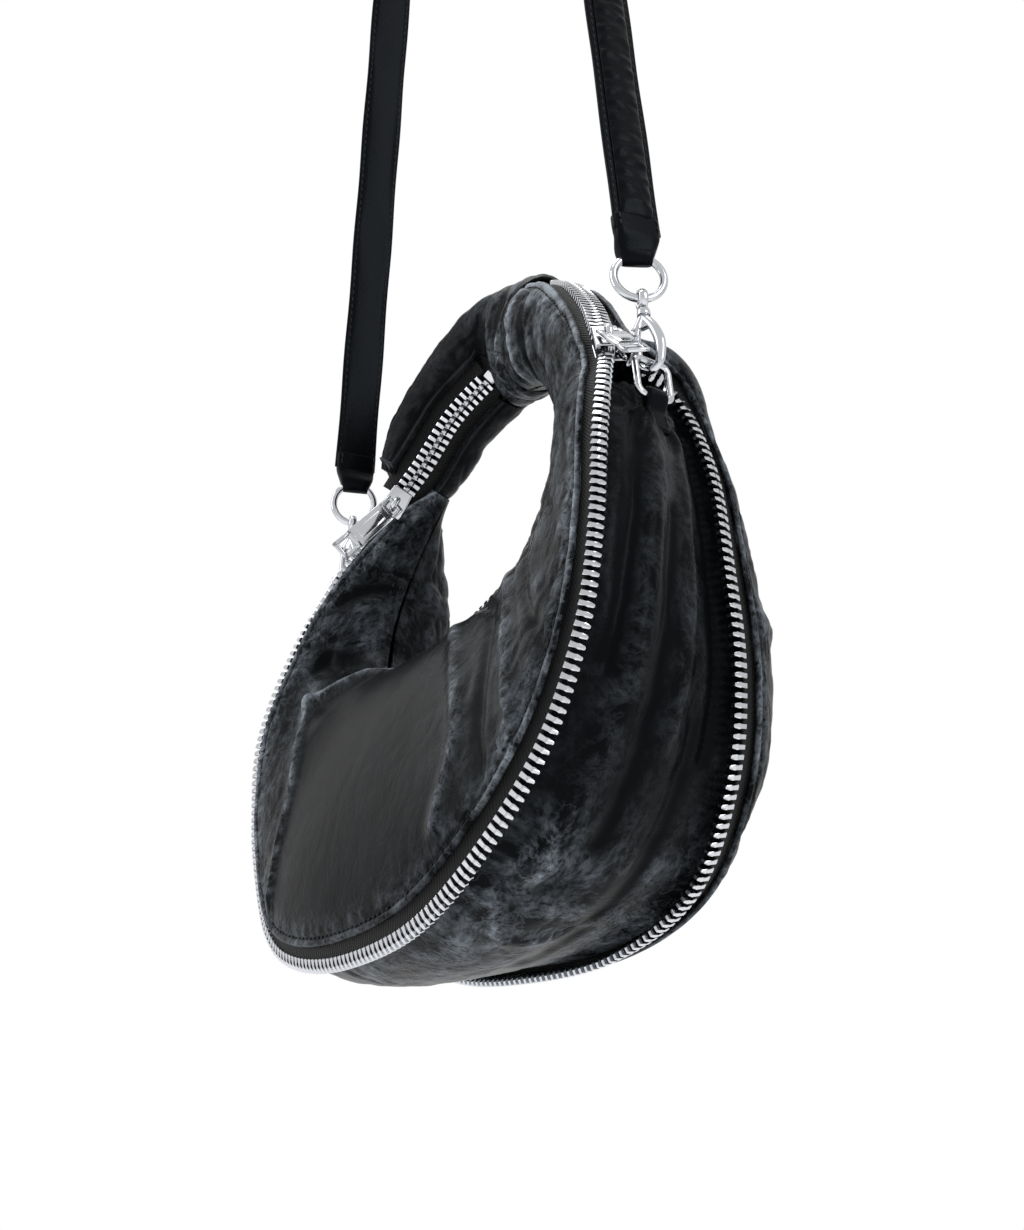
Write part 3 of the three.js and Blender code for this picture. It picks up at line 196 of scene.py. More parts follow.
def smooth(part):
    """A share from 0 to 1, eased at both ends."""
    return part * part * (3 - 2 * part)


def hump(distances, place, width, height):
    """The height of a soft ridge, or of a channel where it is negative, at distances across it."""
    return height * np.exp(-((distances - place) / width) ** 2)


def past(stations, station, sharpness):
    """0 before a station and 1 past it, or the other way round where the sharpness is negative."""
    return 1 / (1 + np.exp(-(stations - station) * sharpness))


def along_curve(points, stations):
    """Points of a smooth curve through the given ones, at stations counted from its first point."""
    known = np.array(points, float)
    known = np.vstack([2 * known[0] - known[1], known, 2 * known[-1] - known[-2]])
    stations = np.clip(np.asarray(stations, float), 0, len(points) - 1)
    first = np.minimum(stations.astype(int), len(points) - 2)
    part = (stations - first)[..., None]
    a, b, c, d = (known[first + k] for k in range(4))
    leave, arrive = (c - a) / 2, (d - b) / 2
    return (b + leave * part + (3 * (c - b) - 2 * leave - arrive) * part ** 2
            + (2 * (b - c) + leave + arrive) * part ** 3)


def zip_row(points, stations):
    """A row of the zip. Past the right slider both rows are one closed chain."""
    own = along_curve(points, stations)
    closed = (along_curve(FRONT_ROW, stations) + along_curve(BACK_ROW, stations)) / 2
    return np.where((np.asarray(stations) > RIGHT_SLIDER)[..., None], closed, own)


def eased(keys, stations):
    """Rows of keys read at stations, eased from each to the next."""
    keys = np.array(keys, float)
    upper = np.clip(np.searchsorted(keys[:, 0], stations), 1, len(keys) - 1)
    part = np.clip((stations - keys[upper - 1, 0]) / (keys[upper, 0] - keys[upper - 1, 0]), 0, 1)
    part = smooth(part)[..., None]
    return keys[upper - 1, 1:] * (1 - part) + keys[upper, 1:] * part


def ring_run(stations):
    """The direction in which the bag's ring runs."""
    def middle(s):
        return along_curve(FRONT_ROW, s) + along_curve(BACK_ROW, s) + along_curve(HOLE_SEAM, s)
    return unit(middle(np.minimum(stations + 0.05, LAST_STATION)) - middle(np.maximum(stations - 0.05, 0)))


def cubic(corners, part):
    """Points of a curve that leaves and arrives by its two middle corners."""
    part = np.asarray(part, float)[..., None]
    a, b, c, d = corners
    return a * (1 - part) ** 3 + 3 * b * part * (1 - part) ** 2 + 3 * c * part ** 2 * (1 - part) + d * part ** 3


FRONT = {"row": FRONT_ROW, "swell": FRONT_SWELL, "side": 1, "facing": -1}
BACK = {"row": BACK_ROW, "swell": BACK_SWELL, "side": -1, "facing": 1}


def on_panel(panel, stations, shares):
    """Points of a panel, in millimetres: shares run from the hand hole's seam, 0, to the zip, 1."""
    stations = np.asarray(stations, float)
    seam, edge, run = along_curve(HOLE_SEAM, stations), zip_row(panel["row"], stations), ring_run(stations)
    out = unit(edge - seam)
    seam_out = unit((zip_row(FRONT_ROW, stations) + zip_row(BACK_ROW, stations)) / 2 - seam)
    keys = eased(panel["swell"], stations)
    seam_reach, edge_reach, seam_lean, edge_lean = (keys[..., k:k + 1] for k in range(4))
    seam_lift = unit(np.cross(seam_out, run)) * panel["side"] * np.sqrt(1 - seam_lean ** 2)
    edge_lift = unit(np.cross(out, run)) * panel["side"] * np.sqrt(1 - edge_lean ** 2)
    first = seam + (seam_out * seam_lean + seam_lift) * seam_reach * GUSSET_WIDTH
    second = edge + (edge_lift - out * edge_lean) * edge_reach * GUSSET_WIDTH
    return cubic((seam, first, second, edge), shares)


def panel_normals(panel, stations, shares):
    """The way out of a panel's face."""
    step = 0.01
    along = on_panel(panel, stations + step, shares) - on_panel(panel, stations - step, shares)
    across = on_panel(panel, stations, shares + step) - on_panel(panel, stations, shares - step)
    return unit(np.cross(along, across)) * panel["facing"]


def lengths_to_zip(panel, stations):
    """For each station, shares in fine steps and the length from each on to the zip."""
    steps = np.linspace(0, 1, 200)
    points = on_panel(panel, stations[:, None], steps[None, :])
    pieces = np.linalg.norm(np.diff(points, axis=1), axis=-1)
    travelled = np.concatenate([np.zeros((len(stations), 1)), np.cumsum(pieces, axis=1)], axis=1)
    return steps, travelled[:, -1:] - travelled


def shares_before(panel, stations, lengths):
    """Shares of a panel's sections that lie given lengths before the zip; lengths is one row for each station."""
    steps, to_go = lengths_to_zip(panel, stations)
    return np.array([np.interp(-wanted, -left, steps) for wanted, left in zip(lengths, to_go)])


def even_stations(pointed, first, last, count):
    """Stations an even length apart on a curve."""
    fine = np.linspace(first, last, 1500)
    gaps = np.linalg.norm(np.diff(pointed(fine), axis=0), axis=-1)
    travelled = np.concatenate([[0], np.cumsum(gaps)])
    wanted = np.linspace(0, travelled[-1], count)
    return np.interp(wanted, travelled, fine), wanted


def sheet_mesh(points, spread, facing, wear_and_sheen=None):
    """A grid laid on rows and columns of points. Its UV map is spread, in metres over the leather or cloth."""
    rows, columns = points.shape[:2]
    mesh = bmesh.new()
    bmesh.ops.create_grid(mesh, x_segments=rows - 1, y_segments=columns - 1, size=1)
    places, uv = {}, mesh.loops.layers.uv.new("over_the_piece")
    # Each vertex carries its share of the pale tone: rubbed wear and painted sheen
    worn_and_sheen = mesh.verts.layers.float.new("wear_and_sheen")
    mesh.verts.index_update()
    for vert in mesh.verts:
        place = round((vert.co.x + 1) / 2 * (rows - 1)), round((vert.co.y + 1) / 2 * (columns - 1))
        places[vert.index] = place
        vert.co = Vector(points[place] + LINKS_MIDDLE) * MM
        vert[worn_and_sheen] = 0 if wear_and_sheen is None else wear_and_sheen[place]
    for face in mesh.faces:
        for corner in face.loops:
            corner[uv].uv = spread[places[corner.vert.index]]
    if facing < 0:
        bmesh.ops.reverse_faces(mesh, faces=mesh.faces)
    return mesh


def grid_normals(points, facing):
    """The way out of a grid of points."""
    return unit(np.cross(np.gradient(points, axis=0), np.gradient(points, axis=1))) * facing


def spread_over(points):
    """Lengths along the rows and the columns of a grid of points, in metres, for its UV map."""
    middle = points[:, points.shape[1] // 2]
    along = np.concatenate([[0], np.cumsum(np.linalg.norm(np.diff(middle, axis=0), axis=-1))])
    across = np.linalg.norm(np.diff(points, axis=1), axis=-1)
    passed = np.concatenate([np.zeros((len(points), 1)), np.cumsum(across, axis=1)], axis=1)
    from_edge = across.sum(axis=1, keepdims=True) - passed
    return np.stack([np.repeat(along[:, None], points.shape[1], 1), from_edge], axis=-1) * MM


def add_piece(name, mesh, material, body, stands_for=(), smooth=True):
    """A new object from a bmesh, riding on its body, in the place of its CAD nodes."""
    data = bpy.data.meshes.new(name)
    mesh.to_mesh(data)
    mesh.free()
    piece = bpy.data.objects.new(name, data)
    scene.collection.objects.link(piece)
    data.materials.append(material)
    if smooth:
        data.shade_smooth()
    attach(piece, body)
    if stands_for:
        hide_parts(*stands_for)
    return piece


def thicken(piece, thickness):
    """Gives a sheet its thickness, inwards from its outer face."""
    wall = piece.modifiers.new("thickness", "SOLIDIFY")
    wall.thickness = thickness * MM
    wall.offset = -1


# A fixed seed, so that the creases are the same in every run
CREASE_SEED = 5
noise.seed_set(CREASE_SEED)


# Crushed leather: how far and over what length its creases wander, and how its finer creases differ
CREASE_WANDER, WANDER_LENGTH = 3.5, 22
FINER, FINER_PLACE = 2.3, Vector((7, 3, 5))


def crinkles(points, stretch, strength):
    """Heights of crushed leather: soft pads with sharp creases between them. Stretch gives the pads' size."""
    heights = np.zeros(points.shape[:2])
    for i, row in enumerate(points):
        for j, point in enumerate(row):
            place = Vector(point)
            bent = place + CREASE_WANDER * noise.noise_vector(place / WANDER_LENGTH)
            wide = Vector((bent.x / stretch[0], bent.y / stretch[1], bent.z / stretch[2]))
            creases = min(1, 3.2 * abs(noise.noise(wide)))
            small = min(1, 3.0 * abs(noise.noise(wide * FINER + FINER_PLACE)))
            heights[i, j] = (creases - 0.6) * 0.75 + (small - 0.6) * 0.32
    return heights * strength


def ridge(points, line, width, height):
    """A fold along a line of points: a ridge where height is positive, a valley where it is negative."""
    nearest = np.full(points.shape[:2], 1e9)
    for start, end in zip(line[:-1], line[1:]):
        step = end - start
        part = np.clip(((points - start) @ step) / (step @ step), 0, 1)
        nearest = np.minimum(nearest, np.linalg.norm(points - (start + part[..., None] * step), axis=-1))
    return hump(nearest, 0, width, height)


def fold_line(keys):
    """Stations and shares of a fold, eight steps for each of its keys."""
    keys = np.column_stack([np.array(keys, float), np.zeros(len(keys))])
    where = along_curve(keys, np.linspace(0, len(keys) - 1, 8 * len(keys)))
    return where[:, 0], where[:, 1]


# The handle's sleeve, whose lower end the panels run on to
SLEEVE_LINE = ((16, 20, 65), (-4, 26, 72), (-27, 28, 75), (-54, 22, 59), (-70, 17, 38), (-80, 12, 23))
ZIP_FACING = np.array((0.79, -0.53, -0.32))
SLEEVE_HALF_WIDTH, SLEEVE_HALF_THICKNESS = 19.5, 13.0
SLEEVE_WIDTHS = ((0, 1.12), (0.3, 1.1), (0.65, 0.92), (1, 0.6))
SLIT_WIDTH, STOP_SHARE, SLIT_CLOSING = 17.0, 0.4, 0.1
sleeve_fine = along_curve(SLEEVE_LINE, np.linspace(0, len(SLEEVE_LINE) - 1, 400))
SLEEVE_LENGTH = np.linalg.norm(np.diff(sleeve_fine, axis=0), axis=-1).sum()


def sleeve_frame(shares):
    """Middle, run, face and outer way of the sleeve; past its ends the middle goes straight on."""
    inside = np.clip(shares, 0.001, 0.999) * (len(SLEEVE_LINE) - 1)
    run = unit(along_curve(SLEEVE_LINE, inside + 0.004) - along_curve(SLEEVE_LINE, inside - 0.004))
    middle = along_curve(SLEEVE_LINE, inside) + run * ((shares - np.clip(shares, 0, 1)) * SLEEVE_LENGTH)[..., None]
    face = unit(ZIP_FACING - run * (run @ ZIP_FACING)[..., None])
    return middle, run, face, np.cross(run, face)


def sleeve_half_width(shares):
    """Half the sleeve's width, seen from the zip's side."""
    return SLEEVE_HALF_WIDTH * eased(SLEEVE_WIDTHS, np.clip(shares, 0, 1))[..., 0]


def on_sleeve(shares, angles, inset=0.0):
    """Points round the sleeve, at angles from the way that its zip faces."""
    middle, _, face, outer = sleeve_frame(shares)
    return (middle + face * ((SLEEVE_HALF_THICKNESS - inset) * np.cos(angles))[..., None]
            + outer * ((sleeve_half_width(shares) - inset) * np.sin(angles))[..., None])


def zip_turn(shares):
    """The angle at which the zip lies on the sleeve."""
    return np.radians(-24 + 24 * shares)


def leather_finish(name, dark, worn_and_sheen, gloss, pattern_scale, depth):
    """Glazed black lambskin, crushed and waxed, with fine grain and greyed places: drier where it has rubbed, and
    painted sheen on the sides that face the lamps.
    The grain is 0.8 mm; the greyed patches are 14 mm wide and broken up by 3 mm specks and by creases."""
    finish, tree = new_finish(name)
    place = add_node(tree, "ShaderNodeTexCoord")
    wear_and_sheen = add_node(tree, "ShaderNodeAttribute", attribute_name="wear_and_sheen")
    # All of it is bent by a slower noise of 30 mm
    bend = add_node(tree, "ShaderNodeTexNoise", {"Vector": place.outputs["Object"], "Scale": 33.0, "Detail": 2.0})
    bent = add_node(tree, "ShaderNodeVectorMath", {0: bend.outputs["Color"], 1: (0.02, 0.02, 0.02)},
                    operation="MULTIPLY")
    moved = add_node(tree, "ShaderNodeVectorMath", {0: place.outputs["Object"], 1: bent.outputs[0]}, operation="ADD")
    patches = add_node(tree, "ShaderNodeTexNoise", {"Vector": moved.outputs[0], "Scale": 0.6 * pattern_scale,
                                                   "Detail": 6.0, "Roughness": 0.68})
    mottled = add_node(tree, "ShaderNodeMapRange", {"Value": patches.outputs[0], "From Min": 0.42, "From Max": 0.62})
    specks = add_node(tree, "ShaderNodeTexNoise", {"Vector": moved.outputs[0], "Scale": 3.2 * pattern_scale,
                                                  "Detail": 4.0, "Roughness": 0.7})
    broken = add_node(tree, "ShaderNodeMapRange", {"Value": specks.outputs[0], "From Min": 0.34, "From Max": 0.62})
    # Creases lie where a noise crosses its middle
    folds = add_node(tree, "ShaderNodeTexNoise", {"Vector": moved.outputs[0], "Scale": pattern_scale, "Detail": 3.0,
                                                 "Roughness": 0.55})
    offset = add_node(tree, "ShaderNodeMath", {0: folds.outputs[0], 1: 0.5}, operation="SUBTRACT")
    apart = add_node(tree, "ShaderNodeMath", {0: offset.outputs[0]}, operation="ABSOLUTE")
    crease = add_node(tree, "ShaderNodeMapRange", {"Value": apart.outputs[0], "From Min": 0.0, "From Max": 0.03,
                                                  "To Min": 0.22, "To Max": 0.0})
    # The pale tone follows each piece's attribute, which holds rubbed wear and painted sheen, broken up by the
    # patches, specks and creases
    rub_and_sheen_pattern = add_node(tree, "ShaderNodeMath", {0: mottled.outputs[0], 1: broken.outputs[0], 2: crease.outputs[0]},
                      operation="MULTIPLY_ADD")
    bare_and_sheen = add_node(tree, "ShaderNodeMapRange", {"Value": wear_and_sheen.outputs["Fac"], "From Min": 0.9, "From Max": 1.9,
                                                "To Max": 0.5})
    total = add_node(tree, "ShaderNodeMath", {0: rub_and_sheen_pattern.outputs[0], 1: wear_and_sheen.outputs["Fac"], 2: bare_and_sheen.outputs[0]},
                     operation="MULTIPLY_ADD", use_clamp=True)
    colour = add_node(tree, "ShaderNodeMix", {"Factor": total.outputs[0], "A": linear(dark), "B": linear(worn_and_sheen)},
                      data_type="RGBA")
    rough = add_node(tree, "ShaderNodeMapRange", {"Value": total.outputs[0], "To Min": 0.27, "To Max": 0.5})
    hollow = add_node(tree, "ShaderNodeMapRange", {"Value": apart.outputs[0], "From Min": 0.0, "From Max": 0.06})
    grain = add_node(tree, "ShaderNodeTexVoronoi", {"Vector": place.outputs["Object"], "Scale": 1250.0},
                     feature="F1", distance="EUCLIDEAN")
    crushed = add_node(tree, "ShaderNodeMapRange", {"Value": wear_and_sheen.outputs["Fac"], "To Min": 0.05, "To Max": 0.55})
    low = add_node(tree, "ShaderNodeBump", {"Height": hollow.outputs[0], "Strength": crushed.outputs[0],
                                            "Distance": depth})
    fine = add_node(tree, "ShaderNodeBump", {"Height": grain.outputs["Distance"], "Strength": 0.14,
                                             "Distance": 0.00025, "Normal": low.outputs[0]})
    shader = add_node(tree, "ShaderNodeBsdfPrincipled", {
        "Base Color": colour.outputs["Result"], "Roughness": rough.outputs[0], "Normal": fine.outputs[0],
        "IOR": 1.45, "Specular IOR Level": gloss, "Specular Tint": linear("#d9e8f5")})
    add_node(tree, "ShaderNodeOutputMaterial", {0: shader.outputs[0]})
    return finish


black_lambskin = leather_finish("crushed_black_lambskin", "#0a0b0d", "#8e969f", 0.035, 110.0, 0.0006)

EDGE_COLUMNS, EDGE_STEP, PANEL_COLUMNS, PANEL_ROWS = 26, 0.5, 54, 400
SEAM_MARGIN_SHARE, ROOT_SHARE, ROOT_ROWS = 0.006, 0.85, 16
# The folded edge, each form by its distance from the edge, its width and its height: a rolled bead, the channel of
# the stitches, puckers and the edge's own rounding
EDGE_FORMS = ((1.2, 1.1, 0.5), (3.1, 0.7, -0.55), (5.2, 2.0, 0.6), (0, 0.5, -0.8))
# How wide the hand hole's rim has rubbed bare, between which stations, and over how many it fades
RIM_WIDTH, RIM_START, RIM_END, RIM_FADE = 3.2, 3.6, 13.5, 1.5
EDGE_WEAR, FOLD_RISE = 0.75, 1.6


def panel_shares(panel, stations):
    """Shares of a panel in even steps from its seam, then in 0.5 mm steps over the last 13 mm to its edge."""
    _, to_go = lengths_to_zip(panel, stations)
    last = TAPE_SHOWN + np.linspace(EDGE_STEP * EDGE_COLUMNS, 0, EDGE_COLUMNS + 1)
    wide = to_go[:, :1] * (1 - SEAM_MARGIN_SHARE)
    main = wide + (last[0] - wide) * np.linspace(0, 1, PANEL_COLUMNS)[None, :]
    edge = np.repeat(last[None, 1:], len(stations), 0)
    return shares_before(panel, stations, np.concatenate([main, edge], axis=1))


def leather_panel(name, panel, folds, calm, wear_and_sheen_over, rub, root_angles):
    """One leather panel: its folds are lines of stations and shares, with a width and a height each. Its root
    runs on over the sleeve, between two angles round it."""
    stations, travelled = even_stations(lambda s: zip_row(panel["row"], s), 0.06, LAST_STATION - 0.02, PANEL_ROWS)
    shares = panel_shares(panel, stations)
    wide = np.repeat(stations[:, None], shares.shape[1], 1)
    flat = on_panel(panel, wide, shares)
    normals = panel_normals(panel, wide, shares)
    spread = spread_over(flat)
    to_edge = spread[..., 1] / MM
    heights = crinkles(flat, (13, 13, 17), 1.3) * calm(wide, shares)
    fold_wear = np.zeros(flat.shape[:2])
    from_seam = (spread[:, :1, 1] - spread[..., 1]) / MM
    for line, width, height in folds:
        fold = on_panel(panel, *fold_line(line))
        heights = heights + ridge(flat, fold, width, height)
        fold_wear = fold_wear + ridge(flat, fold, 0.5 * width, max(0, rub * height))
    heights *= np.clip(to_edge / 9, 0.12, 1) * np.clip(from_seam / 8, 0.15, 1)
    bead, channel, pucker, rounding = (hump(to_edge, *form) for form in EDGE_FORMS)
    gathers = np.array([[noise.noise(Vector((u / 2.6, v / 9, 3.3))) for v in row]
                        for u, row in zip(travelled, to_edge)])
    heights = heights + bead + channel + pucker * gathers + rounding
    # What stands out is worn most
    bumps = np.clip((heights - heights.mean()) / FOLD_RISE + 0.35, 0, 1)
    strength = wear_and_sheen_over(wide, shares)
    rim = hump(from_seam, 0, RIM_WIDTH, 1.5)
    rim = rim * np.clip((wide - RIM_START) / RIM_FADE, 0, 1) * np.clip((RIM_END - wide) / RIM_FADE, 0, 1)
    near_edge = hump(to_edge, 1.5, 1.6, EDGE_WEAR) + hump(to_edge, 6, 3.5, EDGE_WEAR / 2)
    # The pale tone: rubbed wear on what stands out, on the folds, the rim and the edge; the strength adds painted
    # sheen on the front's lit sides
    wear_and_sheen = np.clip(bumps * strength + near_edge * (0.3 + strength) + fold_wear + rim, 0, 1.9)
    points = flat + normals * (LEATHER_TOP + heights)[..., None]
    # Rows that carry the panel on from its first line over the lower end of the handle's sleeve
    part = (spread[0, :1, 1] - spread[0, :, 1]) / spread[0, 0, 1]
    angles = root_angles[0] + (root_angles[1] - root_angles[0]) * part
    middle, _, _, _ = sleeve_frame(np.full_like(angles, ROOT_SHARE))
    under = on_sleeve(np.full_like(angles, ROOT_SHARE), angles)
    under = under + unit(under - middle) * (LEATHER_TOP + 0.7)
    ease = smooth(np.linspace(0, 1, ROOT_ROWS, endpoint=False))[:, None, None]
    points = np.concatenate([under[None] * (1 - ease) + points[:1] * ease, points])
    wear_and_sheen = np.concatenate([np.repeat(wear_and_sheen[:1], ROOT_ROWS, 0), wear_and_sheen])
    spread = spread_over(points)
    piece = add_piece(name, sheet_mesh(points, spread, panel["facing"], wear_and_sheen), black_lambskin, "bag",
                      (name.replace("_leather", ""),))
    thicken(piece, LEATHER_THICKNESS)


def crease_station(shares):
    """The station of the long crease that bounds the lower face on its left."""
    return np.interp(shares, (0.45, 0.57, 0.725, 0.94), (3.6, 5.2, 5.9, 6.3))


def front_calm(stations, shares):
    """How crushed the front is: taut on the big lower face, crushed on its right strip and up the handle."""
    return 0.05 + 0.85 * past(stations, 10.9, 1.8) + 0.3 * past(stations, crease_station(shares), -3)


def front_wear_and_sheen(stations, shares):
    """How greyed the front is: rubbed wear most on its right strip, painted sheen left of the long crease, where it
    faces the left, and wear with painted sheen at the top of the handle.
    """
    low = np.clip((shares - 0.8) / 0.15, 0, 1) * (stations > 6)
    sides = 0.75 * past(stations, 11.0, 1.6) + 0.7 * past(stations, crease_station(shares), -3)
    return 0.03 + sides + 0.2 * low + 0.4 * np.clip(stations - 17, 0, 1)


FRONT_FOLDS = (
    # The dart's ridge below the hand hole, then the crease that runs down from its corner
    (((4.9, 0.02), (4.15, 0.24), (3.54, 0.475)), 4.2, 3.8),
    (((3.54, 0.475), (5.23, 0.569), (5.88, 0.725), (6.3, 0.938)), 3.6, 1.7),
    (((4.4, 0.02), (3.2, 0.25), (2.6, 0.5)), 5.0, -2.2),
    # Folds that hang from the right corner of the hand hole
    (((8.6, 0.02), (9.6, 0.3), (10.1, 0.62), (9.7, 0.82)), 4.0, 1.9),
    (((9.6, 0.05), (10.6, 0.35), (10.5, 0.7), (10.3, 0.9)), 3.2, -1.5),
    (((10.6, 0.05), (11.2, 0.4), (11.0, 0.75), (10.7, 0.92)), 3.4, 1.5),
    (((12.0, 0.1), (11.8, 0.5), (11.7, 0.9)), 3.0, -1.2),
    (((1.3, 0.1), (1.4, 0.5), (2.0, 0.9)), 2.6, -1.0),
    # The handle folds over at its top
    (((17.2, 0.0), (17.9, 0.35), (18.6, 0.9)), 3.0, -1.8),
    (((18.2, 0.0), (18.6, 0.5), (18.9, 0.95)), 2.6, 1.2),
)
leather_panel("front_panel_leather", FRONT, FRONT_FOLDS, front_calm, front_wear_and_sheen, 0.36, (-1.35, -0.64))

# Back panel: the same leather, rounder and calmer, with soft folds that fall from the hand hole. It is sewn to the
# front panel round the hole, and its edge is folded over and stitched on the zip tape in the same way.
HOOK_STATION = 15.4


def back_calm(stations, shares):
    """How crushed the back is: flatter beside the right snap hook."""
    beside_hook = hump(stations, HOOK_STATION, 1.3, 0.9) * np.clip((shares - 0.45) / 0.2, 0, 1)
    return (0.5 + 0.35 * np.sin(stations * 1.3) ** 2) * (1 - beside_hook)


def back_wear(stations, shares):
    """How rubbed the back is: most where it becomes the handle."""
    return 0.3 + 0.25 * np.sin(stations * 0.9) ** 2 + 0.4 * (stations > 15.5)


BACK_FOLDS = (
    (((3.5, 0.05), (3.0, 0.45), (3.4, 0.9)), 5.0, 1.8), (((6.0, 0.05), (6.4, 0.5), (5.9, 0.92)), 5.5, -1.8),
    (((8.2, 0.02), (8.6, 0.5), (8.3, 0.92)), 6.0, 2.0), (((10.2, 0.05), (10.8, 0.5), (10.5, 0.9)), 5.0, -1.8),
    (((12.3, 0.05), (12.2, 0.5), (12.6, 0.9)), 4.5, 1.6), (((14.4, 0.05), (14.2, 0.6), (14.6, 0.9)), 4.0, -1.4),
    (((16.9, 0.0), (17.3, 0.5), (17.2, 0.9)), 3.4, 1.4),
)
leather_panel("back_panel_leather", BACK, BACK_FOLDS, back_calm, back_wear, 0.1, (-1.35, -5.76))

# Gusset: a band of the same leather between the two open rows of the zip, bowed out, with long soft folds and
# small gathers where the link's loop is sewn on. Its edges are tucked under the zip tapes.
GUSSET_DEPTH, GUSSET_TUCK, GUSSET_DIVE = 2.2, 5.0, math.radians(36)
GUSSET_THICKNESS = 1.6
GUSSET_CROWN = ((0, 0.04), (1.2, 0.11), (2, 0.1), (5, 0.05), (9, 0.05), (12, 0.08), (14.6, 0.05), (15.4, 0))
GUSSET_ENDS = (0.62, 15.26)


def on_gusset(stations, shares):
    """Points of the gusset: shares run from the front row, 0, to the back row, 1."""
    ends = []
    for panel in (FRONT, BACK):
        tuck = shares_before(panel, stations, np.full((len(stations), 1), GUSSET_TUCK))[:, 0]
        normal = panel_normals(panel, stations, tuck)
        start = on_panel(panel, stations, tuck) - normal * GUSSET_DEPTH
        leaving = unit(on_panel(panel, stations, tuck + 0.01) - on_panel(panel, stations, tuck - 0.01))
        ends.append((start, leaving * math.cos(GUSSET_DIVE) - normal * math.sin(GUSSET_DIVE)))
    (near, near_way), (far, far_way) = ends
    across = far - near
    out = -unit(np.cross(ring_run(stations), across))
    reach = 0.3 * np.linalg.norm(across, axis=-1, keepdims=True)
    corners = [corner[:, None] for corner in (near, near + near_way * reach, far + far_way * reach, far)]
    shares = np.repeat(shares[None, :], len(stations), 0)
    crown = eased(GUSSET_CROWN, stations) * GUSSET_WIDTH
    return cubic(corners, shares) + out[:, None] * (crown * (4 * shares * (1 - shares)) ** 2)[..., None]


GUSSET_FOLDS = (
    (((15.0, 0.5), (13.6, 0.42), (12.0, 0.3), (10.0, 0.24)), 4.5, 2.0),
    (((14.9, 0.35), (13.2, 0.24), (11.8, 0.18)), 3.2, -1.5), (((14.9, 0.66), (13.4, 0.66), (11.4, 0.56)), 4.2, 1.5),
    (((14.6, 0.8), (12.8, 0.84), (11.2, 0.8)), 3.4, -1.3), (((13.4, 0.52), (12.0, 0.44), (10.4, 0.42)), 3.0, -1.3),
    (((11.5, 0.7), (10.0, 0.66), (8.8, 0.6)), 4.0, -1.2), (((2.0, 0.5), (3.6, 0.4), (5.2, 0.45)), 4.0, 1.4),
    (((1.4, 0.7), (3.0, 0.7), (4.6, 0.62)), 3.4, -1.3), (((9.6, 0.1), (9.2, 0.4), (9.6, 0.7)), 3.0, 0.9),
    # The joint across the band, under the bag, where its two lengths are sewn together
    (((7.6, 0.0), (7.75, 0.5), (7.6, 1.0)), 0.9, -0.9), (((7.75, 0.0), (7.9, 0.5), (7.75, 1.0)), 0.8, 0.5),
)
stations = np.linspace(*GUSSET_ENDS, 300)
shares = np.linspace(0, 1, 64)
flat = on_gusset(stations, shares)
heights = crinkles(flat, (16, 13, 30), 0.9) * 0.55
for line, width, height in GUSSET_FOLDS:
    fold = np.array([on_gusset(station[None], share[None])[0, 0] for station, share in zip(*fold_line(line))])
    heights += ridge(flat, fold, width, height)
# Gathers that fan out from each link's loop
LOOP_SEATS = {"right": (14.75, 0.47), "left": (1.35, 0.47)}
for loop_station, loop_share in LOOP_SEATS.values():
    seat = on_gusset(np.array([loop_station]), np.array([loop_share]))[0, 0]
    away = flat - seat
    reach = np.linalg.norm(away, axis=-1)
    fan = np.arctan2(away[..., 1], np.abs(away[..., 2]) + 0.5)
    heights += np.sin(fan * 11) * hump(reach, 15, 9, 0.55)
heights *= np.clip(np.minimum(shares, 1 - shares)[None, :] / 0.07, 0, 1)
# It is greyed most under the bag, over its lowest 45 mm: rubbed wear, and painted sheen where the bottom faces the
# light from below
WEAR_AND_SHEEN_HEIGHT, WEAR_AND_SHEEN_FADE = 45, 32
lowness = np.clip((flat[..., 2].min() + WEAR_AND_SHEEN_HEIGHT - flat[..., 2]) / WEAR_AND_SHEEN_FADE, 0, 1)
wear_and_sheen = np.clip(((heights - heights.mean()) / FOLD_RISE + 0.4) * (0.1 + 1.1 * lowness), 0, 1)
points = flat + grid_normals(flat, -1) * heights[..., None]
gusset_leather = add_piece("gusset_leather", sheet_mesh(points, spread_over(flat), -1, wear_and_sheen), black_lambskin,
                           "bag", ("gusset",))
thicken(gusset_leather, GUSSET_THICKNESS)

# Handle sleeve: the left half of the handle, a leather tube slit open along the closed stretch of the zip and
# puckered where it bends. It is filled by a soft core.

# Folds round the sleeve: the share of its length, the width and the height of each
SLEEVE_FOLDS = ((0.07, 2.8, 0.64), (0.15, 2.6, -0.72), (0.24, 3.2, 0.52), (0.36, 3.0, -0.48), (0.52, 3.4, 0.44),
                (0.66, 3.0, -0.48), (0.82, 2.6, -0.32))
SLEEVE_END_SHARES = (-0.02, 0.885)
STOP_LENGTH = 4.6
shares = np.linspace(*SLEEVE_END_SHARES, 150)
top = STOP_SHARE - STOP_LENGTH / SLEEVE_LENGTH
opening = smooth(np.clip((shares - top + SLIT_CLOSING) / SLIT_CLOSING, 0, 1))
half_slit = (0.3 + (SLIT_WIDTH - 0.3) * opening) / 2 / sleeve_half_width(shares)
around = np.linspace(0, 1, 130)
wide = np.repeat(shares[:, None], len(around), 1)
angles = (zip_turn(shares) + half_slit)[:, None] + (2 * np.pi - 2 * half_slit)[:, None] * around[None, :]
flat = on_sleeve(wide, angles)
spread = spread_over(flat)
from_slit = np.minimum(spread[..., 1], spread[:, :1, 1] - spread[..., 1]) / MM
edge_part = opening[:, None] * np.ones_like(from_slit)
